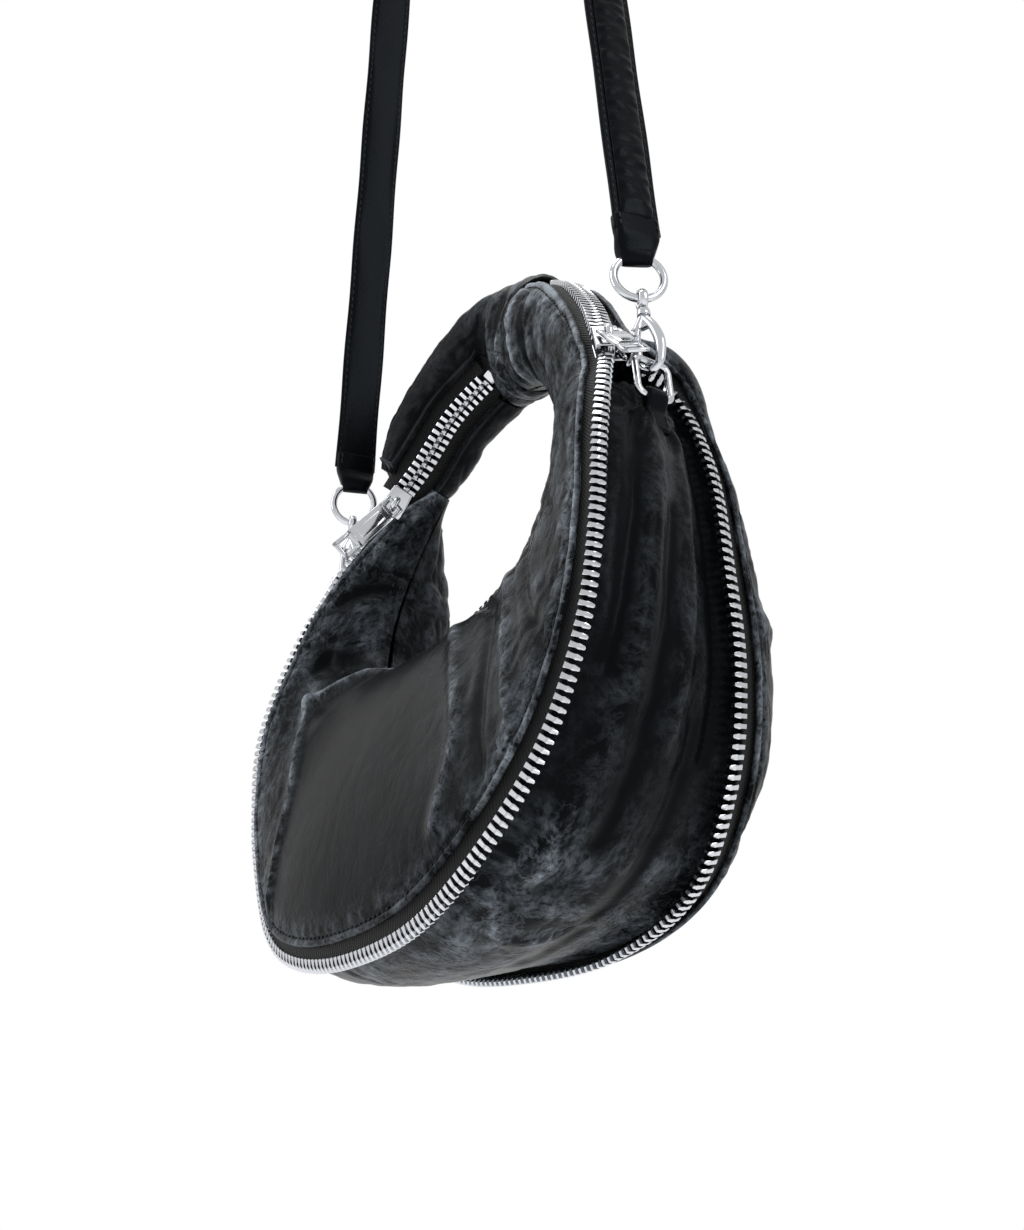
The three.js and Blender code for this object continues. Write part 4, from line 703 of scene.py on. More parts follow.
heights = crinkles(flat, (15, 9, 12), 0.55)
for where, width, height in SLEEVE_FOLDS:
    heights += hump((wide - where) * SLEEVE_LENGTH + 4 * np.sin(2 * angles + 9 * where), 0, width, height)
heights *= np.clip(from_slit / 6, 0.15, 1) * edge_part + 1 - edge_part
heights += edge_part * (hump(from_slit, 1.2, 1.0, 0.5) + hump(from_slit, 3.1, 0.7, -0.5))
# It draws in at both ends, under the panels
heights -= (2.0 * np.clip((0.03 - shares) / 0.05, 0, 1) + 1.6 * np.clip((shares - 0.84) / 0.06, 0, 1))[:, None]
# The fold where the slit ends is pulled in, so that the zip's stop shows below it
over_zip = np.angle(np.exp(1j * (angles - zip_turn(shares)[:, None])))
heights -= hump(wide, top - 0.05, 0.06, 3.0) * hump(over_zip, 0, 0.75, 1)
wear_and_sheen = np.clip((heights / 1.2 + 0.6) * np.clip(1.15 - 2.6 * wide, 0.06, 1), 0, 1.1)
half_way = len(shares) // 2, len(around) // 2
outwards = flat[half_way] - flat[half_way[0]].mean(axis=0)
SLEEVE_FACING = 1 if grid_normals(flat, 1)[half_way] @ outwards > 0 else -1
points = flat + grid_normals(flat, SLEEVE_FACING) * (LEATHER_TOP + heights)[..., None]
handle_leather = add_piece("handle_leather", sheet_mesh(points, spread, SLEEVE_FACING, wear_and_sheen), black_lambskin,
                           "bag", ("handle_sleeve",))
thicken(handle_leather, LEATHER_THICKNESS)

# Handle core: a rolled strip of soft polyester wadding that keeps the sleeve round. It shows only inside the slit.
CORE_INSET, CORE_LUMPS = 3.9, 0.3


def end_cloth(tree, pattern, dark, light, strength, distance, finish):
    """Ends a cloth's or thread's nodes: its two tones and its relief follow one pattern."""
    tone = add_node(tree, "ShaderNodeMix", {"Factor": pattern, "A": linear(dark), "B": linear(light)},
                    data_type="RGBA")
    bumps = add_node(tree, "ShaderNodeBump", {"Height": pattern, "Strength": strength, "Distance": distance})
    shader = add_node(tree, "ShaderNodeBsdfPrincipled",
                      {"Base Color": tone.outputs["Result"], "Normal": bumps.outputs[0], **finish})
    add_node(tree, "ShaderNodeOutputMaterial", {0: shader.outputs[0]})


# Matt and fluffy, with fibres that bundle about 1 mm apart
wadding, tree = new_finish("grey_polyester_wadding")
place = add_node(tree, "ShaderNodeTexCoord")
fibres = add_node(tree, "ShaderNodeTexNoise", {"Vector": place.outputs["Object"], "Scale": 900.0, "Detail": 4.0})
end_cloth(tree, fibres.outputs[0], "#232427", "#3a3b3f", 0.5, 0.0006, {"Roughness": 0.95, "Sheen Weight": 0.2})


def tube_mesh(points):
    """A closed tube through rings of points. A ring's last point is its first again."""
    mesh = sheet_mesh(points, spread_over(points), 1)
    bmesh.ops.remove_doubles(mesh, verts=mesh.verts, dist=2e-6)
    bmesh.ops.holes_fill(mesh, edges=mesh.edges, sides=0)
    bmesh.ops.recalc_face_normals(mesh, faces=mesh.faces)
    return mesh


shares = np.linspace(0.05, 0.84, 40)
around = np.linspace(0, 2 * np.pi, 33)
wide = np.repeat(shares[:, None], len(around), 1)
flat = on_sleeve(wide, np.repeat(around[None, :], len(shares), 0), inset=CORE_INSET)
lumps = CORE_LUMPS * np.sin(wide * 60 + 2 * np.sin(around)) * np.sin(wide * 23)
core = flat + grid_normals(flat, SLEEVE_FACING) * lumps[..., None]
core[:, -1] = core[:, 0]
handle_wadding = add_piece("handle_wadding", tube_mesh(core), wadding, "bag", ("handle_core",))

# Linings and pocket: black cotton drill sewn in along the hole's seam and the zip, with a flat pocket on the back.
LINING_THICKNESS, LINING_COLUMNS = 0.8, 22
# Matt, with twill lines 1 mm apart at 60 degrees to the edge
drill, tree = new_finish("black_cotton_drill")
cloth = add_node(tree, "ShaderNodeTexCoord")
turned = add_node(tree, "ShaderNodeMapping", {"Vector": cloth.outputs["UV"], "Rotation": (0, 0, 1.05)})
lines = add_node(tree, "ShaderNodeTexWave", {"Vector": turned.outputs[0], "Scale": 160.0, "Distortion": 0.6,
                                             "Detail": 1.0}, wave_type="BANDS")
end_cloth(tree, lines.outputs["Fac"], "#0d0d0f", "#1c1c1f", 0.4, 0.0003, {"Roughness": 0.85, "Sheen Weight": 0.15})


def lining_sheet(name, panel, ends, columns, depth, node):
    """A sheet of lining inside a panel; columns gives its two edges as shares of the way to the tape's tuck."""
    stations = np.linspace(*ends, 120)
    tuck = shares_before(panel, stations, np.full((len(stations), 1), TAPE_SHOWN + TAPE_TUCKED + 0.4))
    shares = 0.03 + (tuck - 0.03) * np.linspace(*columns, LINING_COLUMNS)[None, :]
    wide = np.repeat(stations[:, None], shares.shape[1], 1)
    flat = on_panel(panel, wide, shares)
    soft = 0.15 * np.sin(wide * 9 + 5 * shares) * np.sin(np.pi * np.linspace(0, 1, LINING_COLUMNS))[None, :]
    points = flat - panel_normals(panel, wide, shares) * (depth - soft)[..., None]
    sheet = add_piece(name, sheet_mesh(points, spread_over(flat), panel["facing"]), drill, "bag", (node,))
    thicken(sheet, LINING_THICKNESS)


lining_sheet("front_lining_drill", FRONT, (0.72, 14.29), (0, 1), 0.5, "front_lining")
lining_sheet("back_lining_drill", BACK, (0.72, 14.29), (0, 1), 0.5, "back_lining")
lining_sheet("flat_pocket_drill", BACK, (6.8, 10.08), (0.334, 0.832), 1.62, "inner_pocket")

# Zip tapes: black ribbed polyester twill, 7 mm of it showing between the leather and the teeth on each side.
TAPE_THICKNESS, TAPE_EDGE_GAP = 0.8, 0.55
ROW_HALF, CHAIN_HALF = 2.2, 3.0
# The open rows end beside the left slider and the right one
OPEN_ENDS = (0.24, 15.72)

# Matt, with ribs 0.7 mm apart that lean along the tape
zip_twill, tree = new_finish("black_polyester_zip_twill")
cloth = add_node(tree, "ShaderNodeTexCoord")
turned = add_node(tree, "ShaderNodeMapping", {"Vector": cloth.outputs["UV"], "Rotation": (0, 0, 0.6)})
ribs = add_node(tree, "ShaderNodeTexWave", {"Vector": turned.outputs[0], "Scale": 225.0, "Distortion": 0.3,
                                            "Detail": 1.0}, wave_type="BANDS")
end_cloth(tree, ribs.outputs["Fac"], "#060607", "#141517", 0.6, 0.0003,
          {"Roughness": 0.8, "Specular IOR Level": 0.25, "Sheen Weight": 0.05})

for name, panel in (("front_tape", FRONT), ("back_tape", BACK)):
    stations, _ = even_stations(lambda s: zip_row(panel["row"], s), OPEN_ENDS[0], LAST_STATION - 0.03, 420)
    closing = np.clip((stations - OPEN_ENDS[1] + 2) / 1.4, 0, 1)
    half = ROW_HALF + (CHAIN_HALF - ROW_HALF) * smooth(closing) + TAPE_EDGE_GAP
    tape_width = TAPE_SHOWN + TAPE_TUCKED
    lengths = tape_width + (half[:, None] - tape_width) * np.linspace(0, 1, 12)[None, :]
    shares = shares_before(panel, stations, lengths)
    wide = np.repeat(stations[:, None], shares.shape[1], 1)
    flat = on_panel(panel, wide, shares)
    spread = spread_over(flat)
    to_edge = (spread[..., 1] - spread[:, -1:, 1]) / MM
    sag = -0.35 * np.sin(np.pi * np.clip(to_edge / 5, 0, 1))
    points = flat + panel_normals(panel, wide, shares) * (TAPE_THICKNESS / 2 + sag * 0.4)[..., None]
    tape = add_piece(name + "_twill", sheet_mesh(points, spread, panel["facing"]), zip_twill, "bag", (name,))
    thicken(tape, TAPE_THICKNESS)

for name, side in (("sleeve_front_tape", 1), ("sleeve_back_tape", -1)):
    shares = np.linspace(STOP_SHARE, 0.96, 90)
    across = np.linspace(CHAIN_HALF + TAPE_EDGE_GAP, SLIT_WIDTH / 2 + 1.4, 10)
    wide = np.repeat(shares[:, None], len(across), 1)
    angles = zip_turn(wide) + side * across[None, :] / sleeve_half_width(wide)
    flat = on_sleeve(wide, angles)
    facing = side * SLEEVE_FACING
    points = flat + grid_normals(flat, facing) * TAPE_THICKNESS / 2
    mesh = sheet_mesh(points, spread_over(flat), facing)
    tape = add_piece(name + "_twill", mesh, zip_twill, "bag", (name,))
    thicken(tape, TAPE_THICKNESS)

# Zip teeth: stamped nickel-plated brass, 5.4 mm long, 2 mm wide and 3.2 mm apart, each clamped over the tape's edge.
# They are flat bars with bevelled edges and a narrower head that locks between two teeth of the other row.
TOOTH_PITCH, TOOTH_LENGTH, TOOTH_WIDTH, HEAD_WIDTH, TOOTH_THICKNESS, TOOTH_BEVEL = 3.2, 5.4, 2.0, 1.35, 3.0, 0.28
CHAIN_TIP = 1.1

# Bright and almost mirror-like, with polishing marks and finger smudges about 4 mm across
bright_metal, tree = new_finish("polished_nickel_plate")
place = add_node(tree, "ShaderNodeTexCoord")
smudges = add_node(tree, "ShaderNodeTexNoise", {"Vector": place.outputs["Object"], "Scale": 250.0, "Detail": 3.0})
gloss = add_node(tree, "ShaderNodeMapRange", {"Value": smudges.outputs[0], "To Min": 0.07, "To Max": 0.2})
shader = add_node(tree, "ShaderNodeBsdfPrincipled",
                  {"Base Color": linear("#b6b8bc"), "Metallic": 1.0, "Roughness": gloss.outputs[0]})
add_node(tree, "ShaderNodeOutputMaterial", {0: shader.outputs[0]})


def round_edges(mesh, edges, offset, segments):
    bmesh.ops.bevel(mesh, geom=list(edges), offset=offset, offset_type="OFFSET", segments=segments, profile=0.5,
                    affect="EDGES", material=-1)


tooth = bmesh.new()
bmesh.ops.create_cube(tooth, size=1)
bmesh.ops.scale(tooth, verts=tooth.verts, vec=(TOOTH_WIDTH, TOOTH_LENGTH, TOOTH_THICKNESS))
bmesh.ops.translate(tooth, verts=tooth.verts, vec=(0, -TOOTH_LENGTH / 2, 0))
long_edges = [edge for edge in tooth.edges if abs(edge.verts[0].co.y - edge.verts[1].co.y) > 1]
bmesh.ops.subdivide_edges(tooth, edges=long_edges, cuts=2)
for vert in tooth.verts:
    part = -vert.co.y / TOOTH_LENGTH
    if part < 0.1:
        vert.co.x *= HEAD_WIDTH / TOOTH_WIDTH * 0.85
        vert.co.z *= 0.72
    elif part < 0.5:
        vert.co.x *= HEAD_WIDTH / TOOTH_WIDTH
        vert.co.y = -TOOTH_LENGTH * 0.36
    elif part < 0.8:
        vert.co.y = -TOOTH_LENGTH * 0.5
round_edges(tooth, [edge for edge in tooth.edges if edge.calc_face_angle(0) > 0.6], TOOTH_BEVEL, 1)
tooth_shape = bpy.data.meshes.new("zip_tooth")
bmesh.ops.scale(tooth, verts=tooth.verts, vec=(MM, MM, MM))
tooth.to_mesh(tooth_shape)
tooth.free()


def repeat_shape(mesh, shape, places, ways, faces):
    """Adds a small shape at each place, its X along the way and its Z along the face."""
    for place, way, face in zip(places, ways, faces):
        first = len(mesh.verts)
        mesh.from_mesh(shape)
        mesh.verts.ensure_lookup_table()
        x, z = Vector(way).normalized(), Vector(face)
        z = (z - z.dot(x) * x).normalized()
        turn = Matrix((x, z.cross(x), z)).transposed().to_4x4()
        bmesh.ops.transform(mesh, verts=mesh.verts[first:],
                            matrix=Matrix.Translation(Vector(place + LINKS_MIDDLE) * MM) @ turn)


def row_of_teeth(mesh, pointed, reaching, ends, tip, offset=0.0, leaning=lambda s: 0 * s):
    """Teeth a pitch apart on a line of the zip, whose heads reach past it by tip, in millimetres."""
    length = even_stations(pointed, *ends, 2)[1][-1]
    count = int((length - offset) / TOOTH_PITCH)
    fine, travelled = even_stations(pointed, *ends, 1200)
    where = np.interp((np.arange(count) + 0.5) * TOOTH_PITCH + offset, travelled, fine)
    places = pointed(where)
    step = (ends[1] - ends[0]) / 4000
    ways = unit(pointed(where + step) - pointed(where - step))
    reach = reaching(where)
    reach = unit(reach - ways * (ways * reach).sum(axis=-1, keepdims=True))
    reach = unit(reach + ways * leaning(where)[..., None])
    faces = np.cross(ways, reach)
    repeat_shape(mesh, tooth_shape, places + reach * tip, np.cross(reach, faces), faces)


def zip_reach(panel):
    """The way from a panel out to the other row, at the zip, as a function of stations."""
    return lambda s: unit(on_panel(panel, s, np.ones_like(s)) - on_panel(panel, s, np.full_like(s, 0.99)))


for name, panel in (("front_teeth", FRONT), ("back_teeth", BACK)):
    mesh = bmesh.new()
    # Past the bag's lower corner the front teeth are pulled over, so that their heads point down
    row_of_teeth(mesh, lambda s: zip_row(panel["row"], s), zip_reach(panel), OPEN_ENDS, ROW_HALF,
                 leaning=lambda s: -0.4 * np.clip((s - 11) / 2.5, 0, 1) if panel is FRONT else 0 * s)
    add_piece(name + "_bars", mesh, bright_metal, "bag", (name,), smooth=False)

# Closed stretches: the two rows locked together, each tooth between two of the other row, up both sides of the
# handle. Each ends in a clamped metal stop.
def right_zip(stations):
    """The middle of the zip up the right half of the handle."""
    return zip_row(FRONT_ROW, stations)


def left_zip(shares):
    """The middle of the zip on the sleeve."""
    return on_sleeve(shares, zip_turn(shares))


def left_zip_reach(shares):
    """The way across the zip on the sleeve."""
    turn = zip_turn(shares)
    return unit(on_sleeve(shares, turn + 0.02) - on_sleeve(shares, turn - 0.02))


def closed_chain(node, pointed, reaching, ends):
    """Two rows of teeth from both sides of one line, half a pitch apart."""
    mesh = bmesh.new()
    row_of_teeth(mesh, pointed, reaching, ends, CHAIN_TIP)
    row_of_teeth(mesh, pointed, lambda s: -reaching(s), ends, CHAIN_TIP, TOOTH_PITCH / 2)
    add_piece(node + "_bars", mesh, bright_metal, "bag", (node,), smooth=False)


closed_chain("right_chain", right_zip, zip_reach(FRONT), (RIGHT_SLIDER + 0.13, LAST_STATION - 0.5))
closed_chain("left_chain", left_zip, left_zip_reach, (0.97, STOP_SHARE + 0.002))

# The stops: U-shaped clips of the same metal, pressed over both tapes across the end of the chain
for node in ("left_stop", "right_stop"):
    mesh = bmesh.new()
    mesh.from_mesh(frame["nodes"][node].data)
    bmesh.ops.remove_doubles(mesh, verts=mesh.verts, dist=1e-5)
    bmesh.ops.dissolve_limit(mesh, angle_limit=0.1, verts=mesh.verts, edges=mesh.edges)
    round_edges(mesh, mesh.edges, 0.5 * MM, 3)
    add_piece(node + "_clip", mesh, bright_metal, "bag", (node,))

# Sliders: die-cast zinc, nickel-plated, a plate over and one under the teeth, joined by a divider, with an arched
# bail that holds the puller. The body narrows towards the closed teeth.
joint_of = {joint["name"]: joint for joint in frame["joints"]}
CHANNEL_HALF_HEIGHT, SLIDER_HALF_HEIGHT, CHANNEL_HALF_WIDTH, SLOT_HALF_HEIGHT = 2.3, 3.5, 3.8, 1.3
SLIDER_LENGTH, SLIDER_WIDTH, HINGE_HEIGHT = 14.0, 11.0, 4.85
DIVIDER_LENGTH, DIVIDER_HALF_WIDTH = 3.5, 1.2
BAIL_RADIUS, BAIL_FOOT, BAIL_WIRE = 2.9, 2.9, 0.58


def joint_place(name):
    """Where a joint lies, in millimetres."""
    return Vector(joint_of[name]["pos_m"]) / MM


def joint_axis(name):
    """The way that a joint turns about or slides along."""
    return Vector(joint_of[name]["axis"]).normalized()


def frame_matrix(x, y, z, place):
    """Millimetres in a frame of its own to metres in the part's frame."""
    return Matrix.Translation(place * MM) @ Matrix((x, y, z)).transposed().to_4x4() @ Matrix.Scale(MM, 4)


def slider_frame(side):
    """A slider's own axes and middle: X along the zip, Z out of its face."""
    x = joint_axis(side + "_slider_run")
    z = x.cross(joint_axis(side + "_puller_hinge")).normalized()
    return x, z.cross(x), z, joint_place(side + "_puller_hinge") - z * HINGE_HEIGHT


def rounded_block(mesh, low, high, offset, segments=2, taper=None):
    """A box between two corners with bevelled edges; taper scales its Y at the high X end."""
    made = bmesh.ops.create_cube(mesh, size=1)["verts"]
    for vert in made:
        vert.co = Vector([l + (h - l) * (c + 0.5) for l, h, c in zip(low, high, vert.co)])
        if taper and vert.co.x > (low[0] + high[0]) / 2:
            vert.co.y *= taper
    round_edges(mesh, {edge for vert in made for edge in vert.link_edges}, offset, segments)


def wire(mesh, path, normal, radius, sides=16, closed=False, squash=1.0, swell=0.0):
    """A round wire along a flat path of points, as a tube of rings. It can swell over its first half."""
    path = [Vector(p) for p in path]
    count, rings = len(path), []
    for k, point in enumerate(path):
        before, after = (path[k - 1], path[(k + 1) % count]) if closed else (path[max(k - 1, 0)],
                                                                             path[min(k + 1, count - 1)])
        side = Vector(normal).cross(after - before).normalized()
        ring = bmesh.ops.create_circle(mesh, segments=sides, radius=radius)["verts"]
        wider = 1 + swell * math.sin(math.pi * min(k / (0.62 * count), 1))
        for vert in ring:
            vert.co = point + side * vert.co.x * wider + Vector(normal) * vert.co.y * squash * math.sqrt(wider)
        rings.append(list({edge for vert in ring for edge in vert.link_edges}))
    ends = rings[:1] + rings[-1:]
    for first, second in zip(rings, rings[1:] + rings[:1]) if closed else zip(rings[:-1], rings[1:]):
        bmesh.ops.bridge_loops(mesh, edges=first + second)
    if not closed:
        for ring in ends:
            bmesh.ops.contextual_create(mesh, geom=ring)


def arc(centre, radius, start, end, count):
    """Points of an arc in the XZ plane, its angles in degrees from X towards Z."""
    angles = [math.radians(start + (end - start) * k / (count - 1)) for k in range(count)]
    return [(centre[0] + radius * math.cos(angle), 0, centre[1] + radius * math.sin(angle)) for angle in angles]


def add_fitting(name, mesh, matrix, body, node):
    """Adds a finished piece of bright metal in its place on its body."""
    bmesh.ops.recalc_face_normals(mesh, faces=mesh.faces)
    bmesh.ops.transform(mesh, verts=mesh.verts, matrix=matrix)
    add_piece(name, mesh, bright_metal, body, (node,))


for side in ("left", "right"):
    x, y, z, origin = slider_frame(side)
    mesh = bmesh.new()
    half = SLIDER_LENGTH / 2
    narrow = (CHANNEL_HALF_WIDTH + 0.6) / (SLIDER_WIDTH / 2)
    for way in (1, -1):
        plate = sorted((way * CHANNEL_HALF_HEIGHT, way * SLIDER_HALF_HEIGHT))
        rounded_block(mesh, (-half, -SLIDER_WIDTH / 2, plate[0]), (half, SLIDER_WIDTH / 2, plate[1]), 0.55, 3, narrow)
        for flank in (1, -1):
            wall = sorted((flank * (CHANNEL_HALF_WIDTH + 0.05), flank * (SLIDER_WIDTH / 2)))
            lip = sorted((way * SLOT_HALF_HEIGHT, way * (CHANNEL_HALF_HEIGHT + 0.5)))
            rounded_block(mesh, (-half, wall[0], lip[0]), (half, wall[1], lip[1]), 0.3, 2, narrow)
    divider_top = CHANNEL_HALF_HEIGHT + 0.3
    rounded_block(mesh, (-half, -DIVIDER_HALF_WIDTH, -divider_top),
                  (-half + DIVIDER_LENGTH, DIVIDER_HALF_WIDTH, divider_top), 0.3)
    bail = [(1.02 * px, 0, BAIL_FOOT + 1.28 * pz) for px, _, pz in arc((0, 0), BAIL_RADIUS, 180, 0, 15)]
    wire(mesh, bail, (0, 1, 0), BAIL_WIRE, 12, squash=2.0)
    add_fitting(side + "_slider_body", mesh, frame_matrix(x, y, z, origin), side + "_slider", side + "_slider")

# Pullers: stamped steel tongues, 33 mm long and 9 mm wide, with an eye for the bail and a long slot near the free
# end. The left one hangs out to the left beside its ring, and the right one lies forward, across the hook.

# How far each is turned on its slider and raised from it, in degrees
PULLER_TURNS = {"left": (-16, 22), "right": (4, 14)}
PULLER_LENGTH, PULLER_WIDTH, PULLER_THICKNESS, PULLER_RIM, PULLER_EDGE = 33.0, 9.0, 1.4, 1.8, 0.42
EYE_SLOT, END_SLOT = 4.0, 7.0


def bar_outline(mesh, low, high, thickness, rim, corner):
    """A flat frame: a rectangle with rounded corners and a rectangular hole, its rim rounded over."""
    rounded_block(mesh, (low[0], low[1], -thickness / 2), (low[0] + rim, high[1], thickness / 2), corner, 3)
    rounded_block(mesh, (high[0] - rim, low[1], -thickness / 2), (high[0], high[1], thickness / 2), corner, 3)
    for flank in ((low[1], low[1] + rim), (high[1] - rim, high[1])):
        rounded_block(mesh, (low[0], flank[0], -thickness / 2), (high[0], flank[1], thickness / 2), corner, 3)


for side, (yaw, rise) in PULLER_TURNS.items():
    x, y, z, origin = slider_frame(side)
    mesh = bmesh.new()
    far = -PULLER_LENGTH + PULLER_RIM / 2
    near = PULLER_RIM / 2
    half = PULLER_WIDTH / 2
    eye_start, slot_end = near - PULLER_RIM - EYE_SLOT, far + PULLER_RIM + END_SLOT
    face = PULLER_THICKNESS / 2
    # A rounded frame round the eye, a plate with a raised middle, and a rounded frame round the slot
    bar_outline(mesh, (eye_start - 1.0, -half + 0.2), (near, half - 0.2), PULLER_THICKNESS, 1.6, PULLER_EDGE)
    rounded_block(mesh, (slot_end, -half, -face), (eye_start + 0.1, half, face), PULLER_EDGE, 3)
    bar_outline(mesh, (far, -half), (slot_end + 1.0, half), PULLER_THICKNESS, 2.0, PULLER_EDGE)
    rounded_block(mesh, (slot_end + 2.5, -half + 2.2, face - 0.2), (eye_start - 2.5, half - 2.2, face + 0.35), 0.3, 2)
    turn = Matrix.Rotation(math.radians(yaw), 4, "Z") @ Matrix.Rotation(math.radians(rise), 4, "Y")
    place = frame_matrix(x, y, z, origin) @ Matrix.Translation((0, 0, HINGE_HEIGHT)) @ turn
    add_fitting(side + "_puller_tongue", mesh, place, side + "_puller", side + "_puller")

# End hardware, the same at both ends, of polished nickel-plated steel and zinc: a link held by a leather loop, a
# snap hook with a sprung gate on a swivel eye, and a round ring that the strap's tab is folded over.
RING_RADIUS, RING_WIRE = 8.75, 1.4
LINK_WIDTH, LINK_SPAN, LINK_WIRE, LINK_CORNER = 14.4, 13.4, 1.3, 2.7
HOOK_ARM = ((-0.2, 21.6), (2.9, 16.2), (4.55, 10.6), (4.5, 6.0), (3.3, 1.9), (0, 0), (-3.13, 2.11), (-3.91, 5.38))
HOOK_LEG = ((0.2, 22.6), (-1.4, 20.2), (-3.1, 17.6), (-3.95, 15.0))
EYE_HEIGHT, EYE_RADIUS, EYE_WIRE, POST_RADIUS = 28.3, 2.85, 0.95, 1.1
ARM_RADIUS, LEG_RADIUS, GATE_RADIUS, RIVET_RADIUS = 1.38, 1.5, 1.3, 0.72
GATE_HINGE, COLLAR_TOP, COLLAR_HEIGHT = 17.3, 24.2, 2.6
# How the ring and the eye are turned about the strap's pull, in degrees
RING_HEADING, EYE_HEADING = 65, -25


def flat_way(degrees):
    """A level way, at an angle from X."""
    return Vector((math.cos(math.radians(degrees)), math.sin(math.radians(degrees)), 0))


def square_frame(near_x, z, place):
    """A frame with its Z along a way and its X as near as it can be to another."""
    x = (near_x - near_x.dot(z) * z).normalized()
    return frame_matrix(x, z.cross(x), z, place)


for side in ("left", "right"):
    pull = joint_axis(side + "_hook_swivel")
    ring_top = joint_place(side + "_ring_swing")
    bar = joint_place(side + "_link_hinge")
    hook_base = joint_place(side + "_hook_swivel") - pull * EYE_HEIGHT
    hook_y = -joint_axis(side + "_gate_spring")

    mesh = bmesh.new()
    wire(mesh, arc((0, 0), RING_RADIUS, 0, 360 * 71 / 72, 72), (0, 1, 0), RING_WIRE, 20, closed=True)
    ring_place = square_frame(flat_way(RING_HEADING), pull, ring_top - pull * RING_RADIUS)
    add_fitting(side + "_round_ring", mesh, ring_place, side + "_ring", side + "_ring")

    mesh = bmesh.new()
    wide, tall = LINK_WIDTH / 2 - LINK_CORNER, LINK_SPAN / 2 - LINK_CORNER
    corners = [arc((sx * wide, sz * tall), LINK_CORNER, start, start + 90, 9)
               for sx, sz, start in ((1, 1, 0), (-1, 1, 90), (-1, -1, 180), (1, -1, 270))]
    wire(mesh, sum(corners, []), (0, 1, 0), LINK_WIRE, 18, closed=True)
    link_place = square_frame(joint_axis(side + "_link_hinge"), pull, bar + pull * LINK_SPAN / 2)
    add_fitting(side + "_square_link", mesh, link_place, side + "_link", side + "_link")

    hook_place = frame_matrix(hook_y.cross(pull), hook_y, pull, hook_base)
    mesh = bmesh.new()
    arm = along_curve([(px, 0, pz) for px, pz in HOOK_ARM], np.linspace(0, len(HOOK_ARM) - 1, 60))
    wire(mesh, arm, (0, 1, 0), ARM_RADIUS, 20, swell=0.4)
    # Its other leg ends over the gate's hinge, and a web joins the two legs under the collar
    leg = along_curve([(px, 0, pz) for px, pz in HOOK_LEG], np.linspace(0, len(HOOK_LEG) - 1, 24))
    wire(mesh, leg, (0, 1, 0), LEG_RADIUS, 20)
    rounded_block(mesh, (-2.0, -1.25, 16.8), (1.4, 1.25, 21.2), 0.35)
    collar = bmesh.ops.create_cone(mesh, cap_ends=True, segments=28, radius1=2.4, radius2=2.15,
                                   depth=COLLAR_HEIGHT)["verts"]
    bmesh.ops.translate(mesh, verts=collar, vec=(0, 0, COLLAR_TOP - COLLAR_HEIGHT / 2))
    round_edges(mesh, {edge for vert in collar for edge in vert.link_edges if edge.calc_face_angle(0) > 1}, 0.4, 3)
    add_fitting(side + "_snap_hook", mesh, hook_place, side + "_hook", side + "_hook")

    mesh = bmesh.new()
    nose_x = HOOK_ARM[-1][0]
    wire(mesh, [(nose_x, 0, pz) for pz in (5.7, 5.9, 6.3, 10, 13.6, 14.0, 14.2)], (0, 1, 0), GATE_RADIUS, 16)
    for vert in mesh.verts:
        if vert.co.z < 5.75 or vert.co.z > 14.15:
            vert.co.x = nose_x + (vert.co.x - nose_x) * 0.75
            vert.co.y *= 0.75
    rounded_block(mesh, (nose_x - 1.25, -0.85, 13.6), (nose_x + 1.25, 0.85, GATE_HINGE + 1.2), 0.35, 2)
    add_fitting(side + "_sprung_gate", mesh, hook_place, side + "_gate", side + "_gate")

    mesh = bmesh.new()
    for way in (-1, 1):
        head = bmesh.ops.create_uvsphere(mesh, u_segments=16, v_segments=8, radius=RIVET_RADIUS)["verts"]
        for vert in head:
            vert.co = Vector((nose_x + vert.co.x, way * 1.85 + vert.co.y * 0.5, GATE_HINGE + vert.co.z))
    wire(mesh, [(nose_x, py, GATE_HINGE) for py in (-1.8, 0, 1.8)], (1, 0, 0), 0.5, 12)
    add_fitting(side + "_gate_rivet", mesh, hook_place, side + "_hook", side + "_gate_pin")

    mesh = bmesh.new()
    eye = arc((0, EYE_HEIGHT), EYE_RADIUS, 0, 360 * 35 / 36, 36)
    wire(mesh, eye, (0, 1, 0), EYE_WIRE, 16, closed=True, squash=1.7)
    wire(mesh, [(0, 0, pz) for pz in (20.0, 21.0, 23.0, EYE_HEIGHT - EYE_RADIUS)], (0, 1, 0), POST_RADIUS, 16)
    eye_place = square_frame(flat_way(EYE_HEADING), pull, hook_base)
    add_fitting(side + "_swivel_eye", mesh, eye_place, side + "_ring", side + "_eye")

# Link loops and strap tabs: short straps of smooth black leather, folded over the wire and stitched together below
# it. The edges are painted black.
smooth_leather = leather_finish("smooth_black_strap_leather", "#0c0d10", "#33373c", 0.05, 170.0, 0.00006)
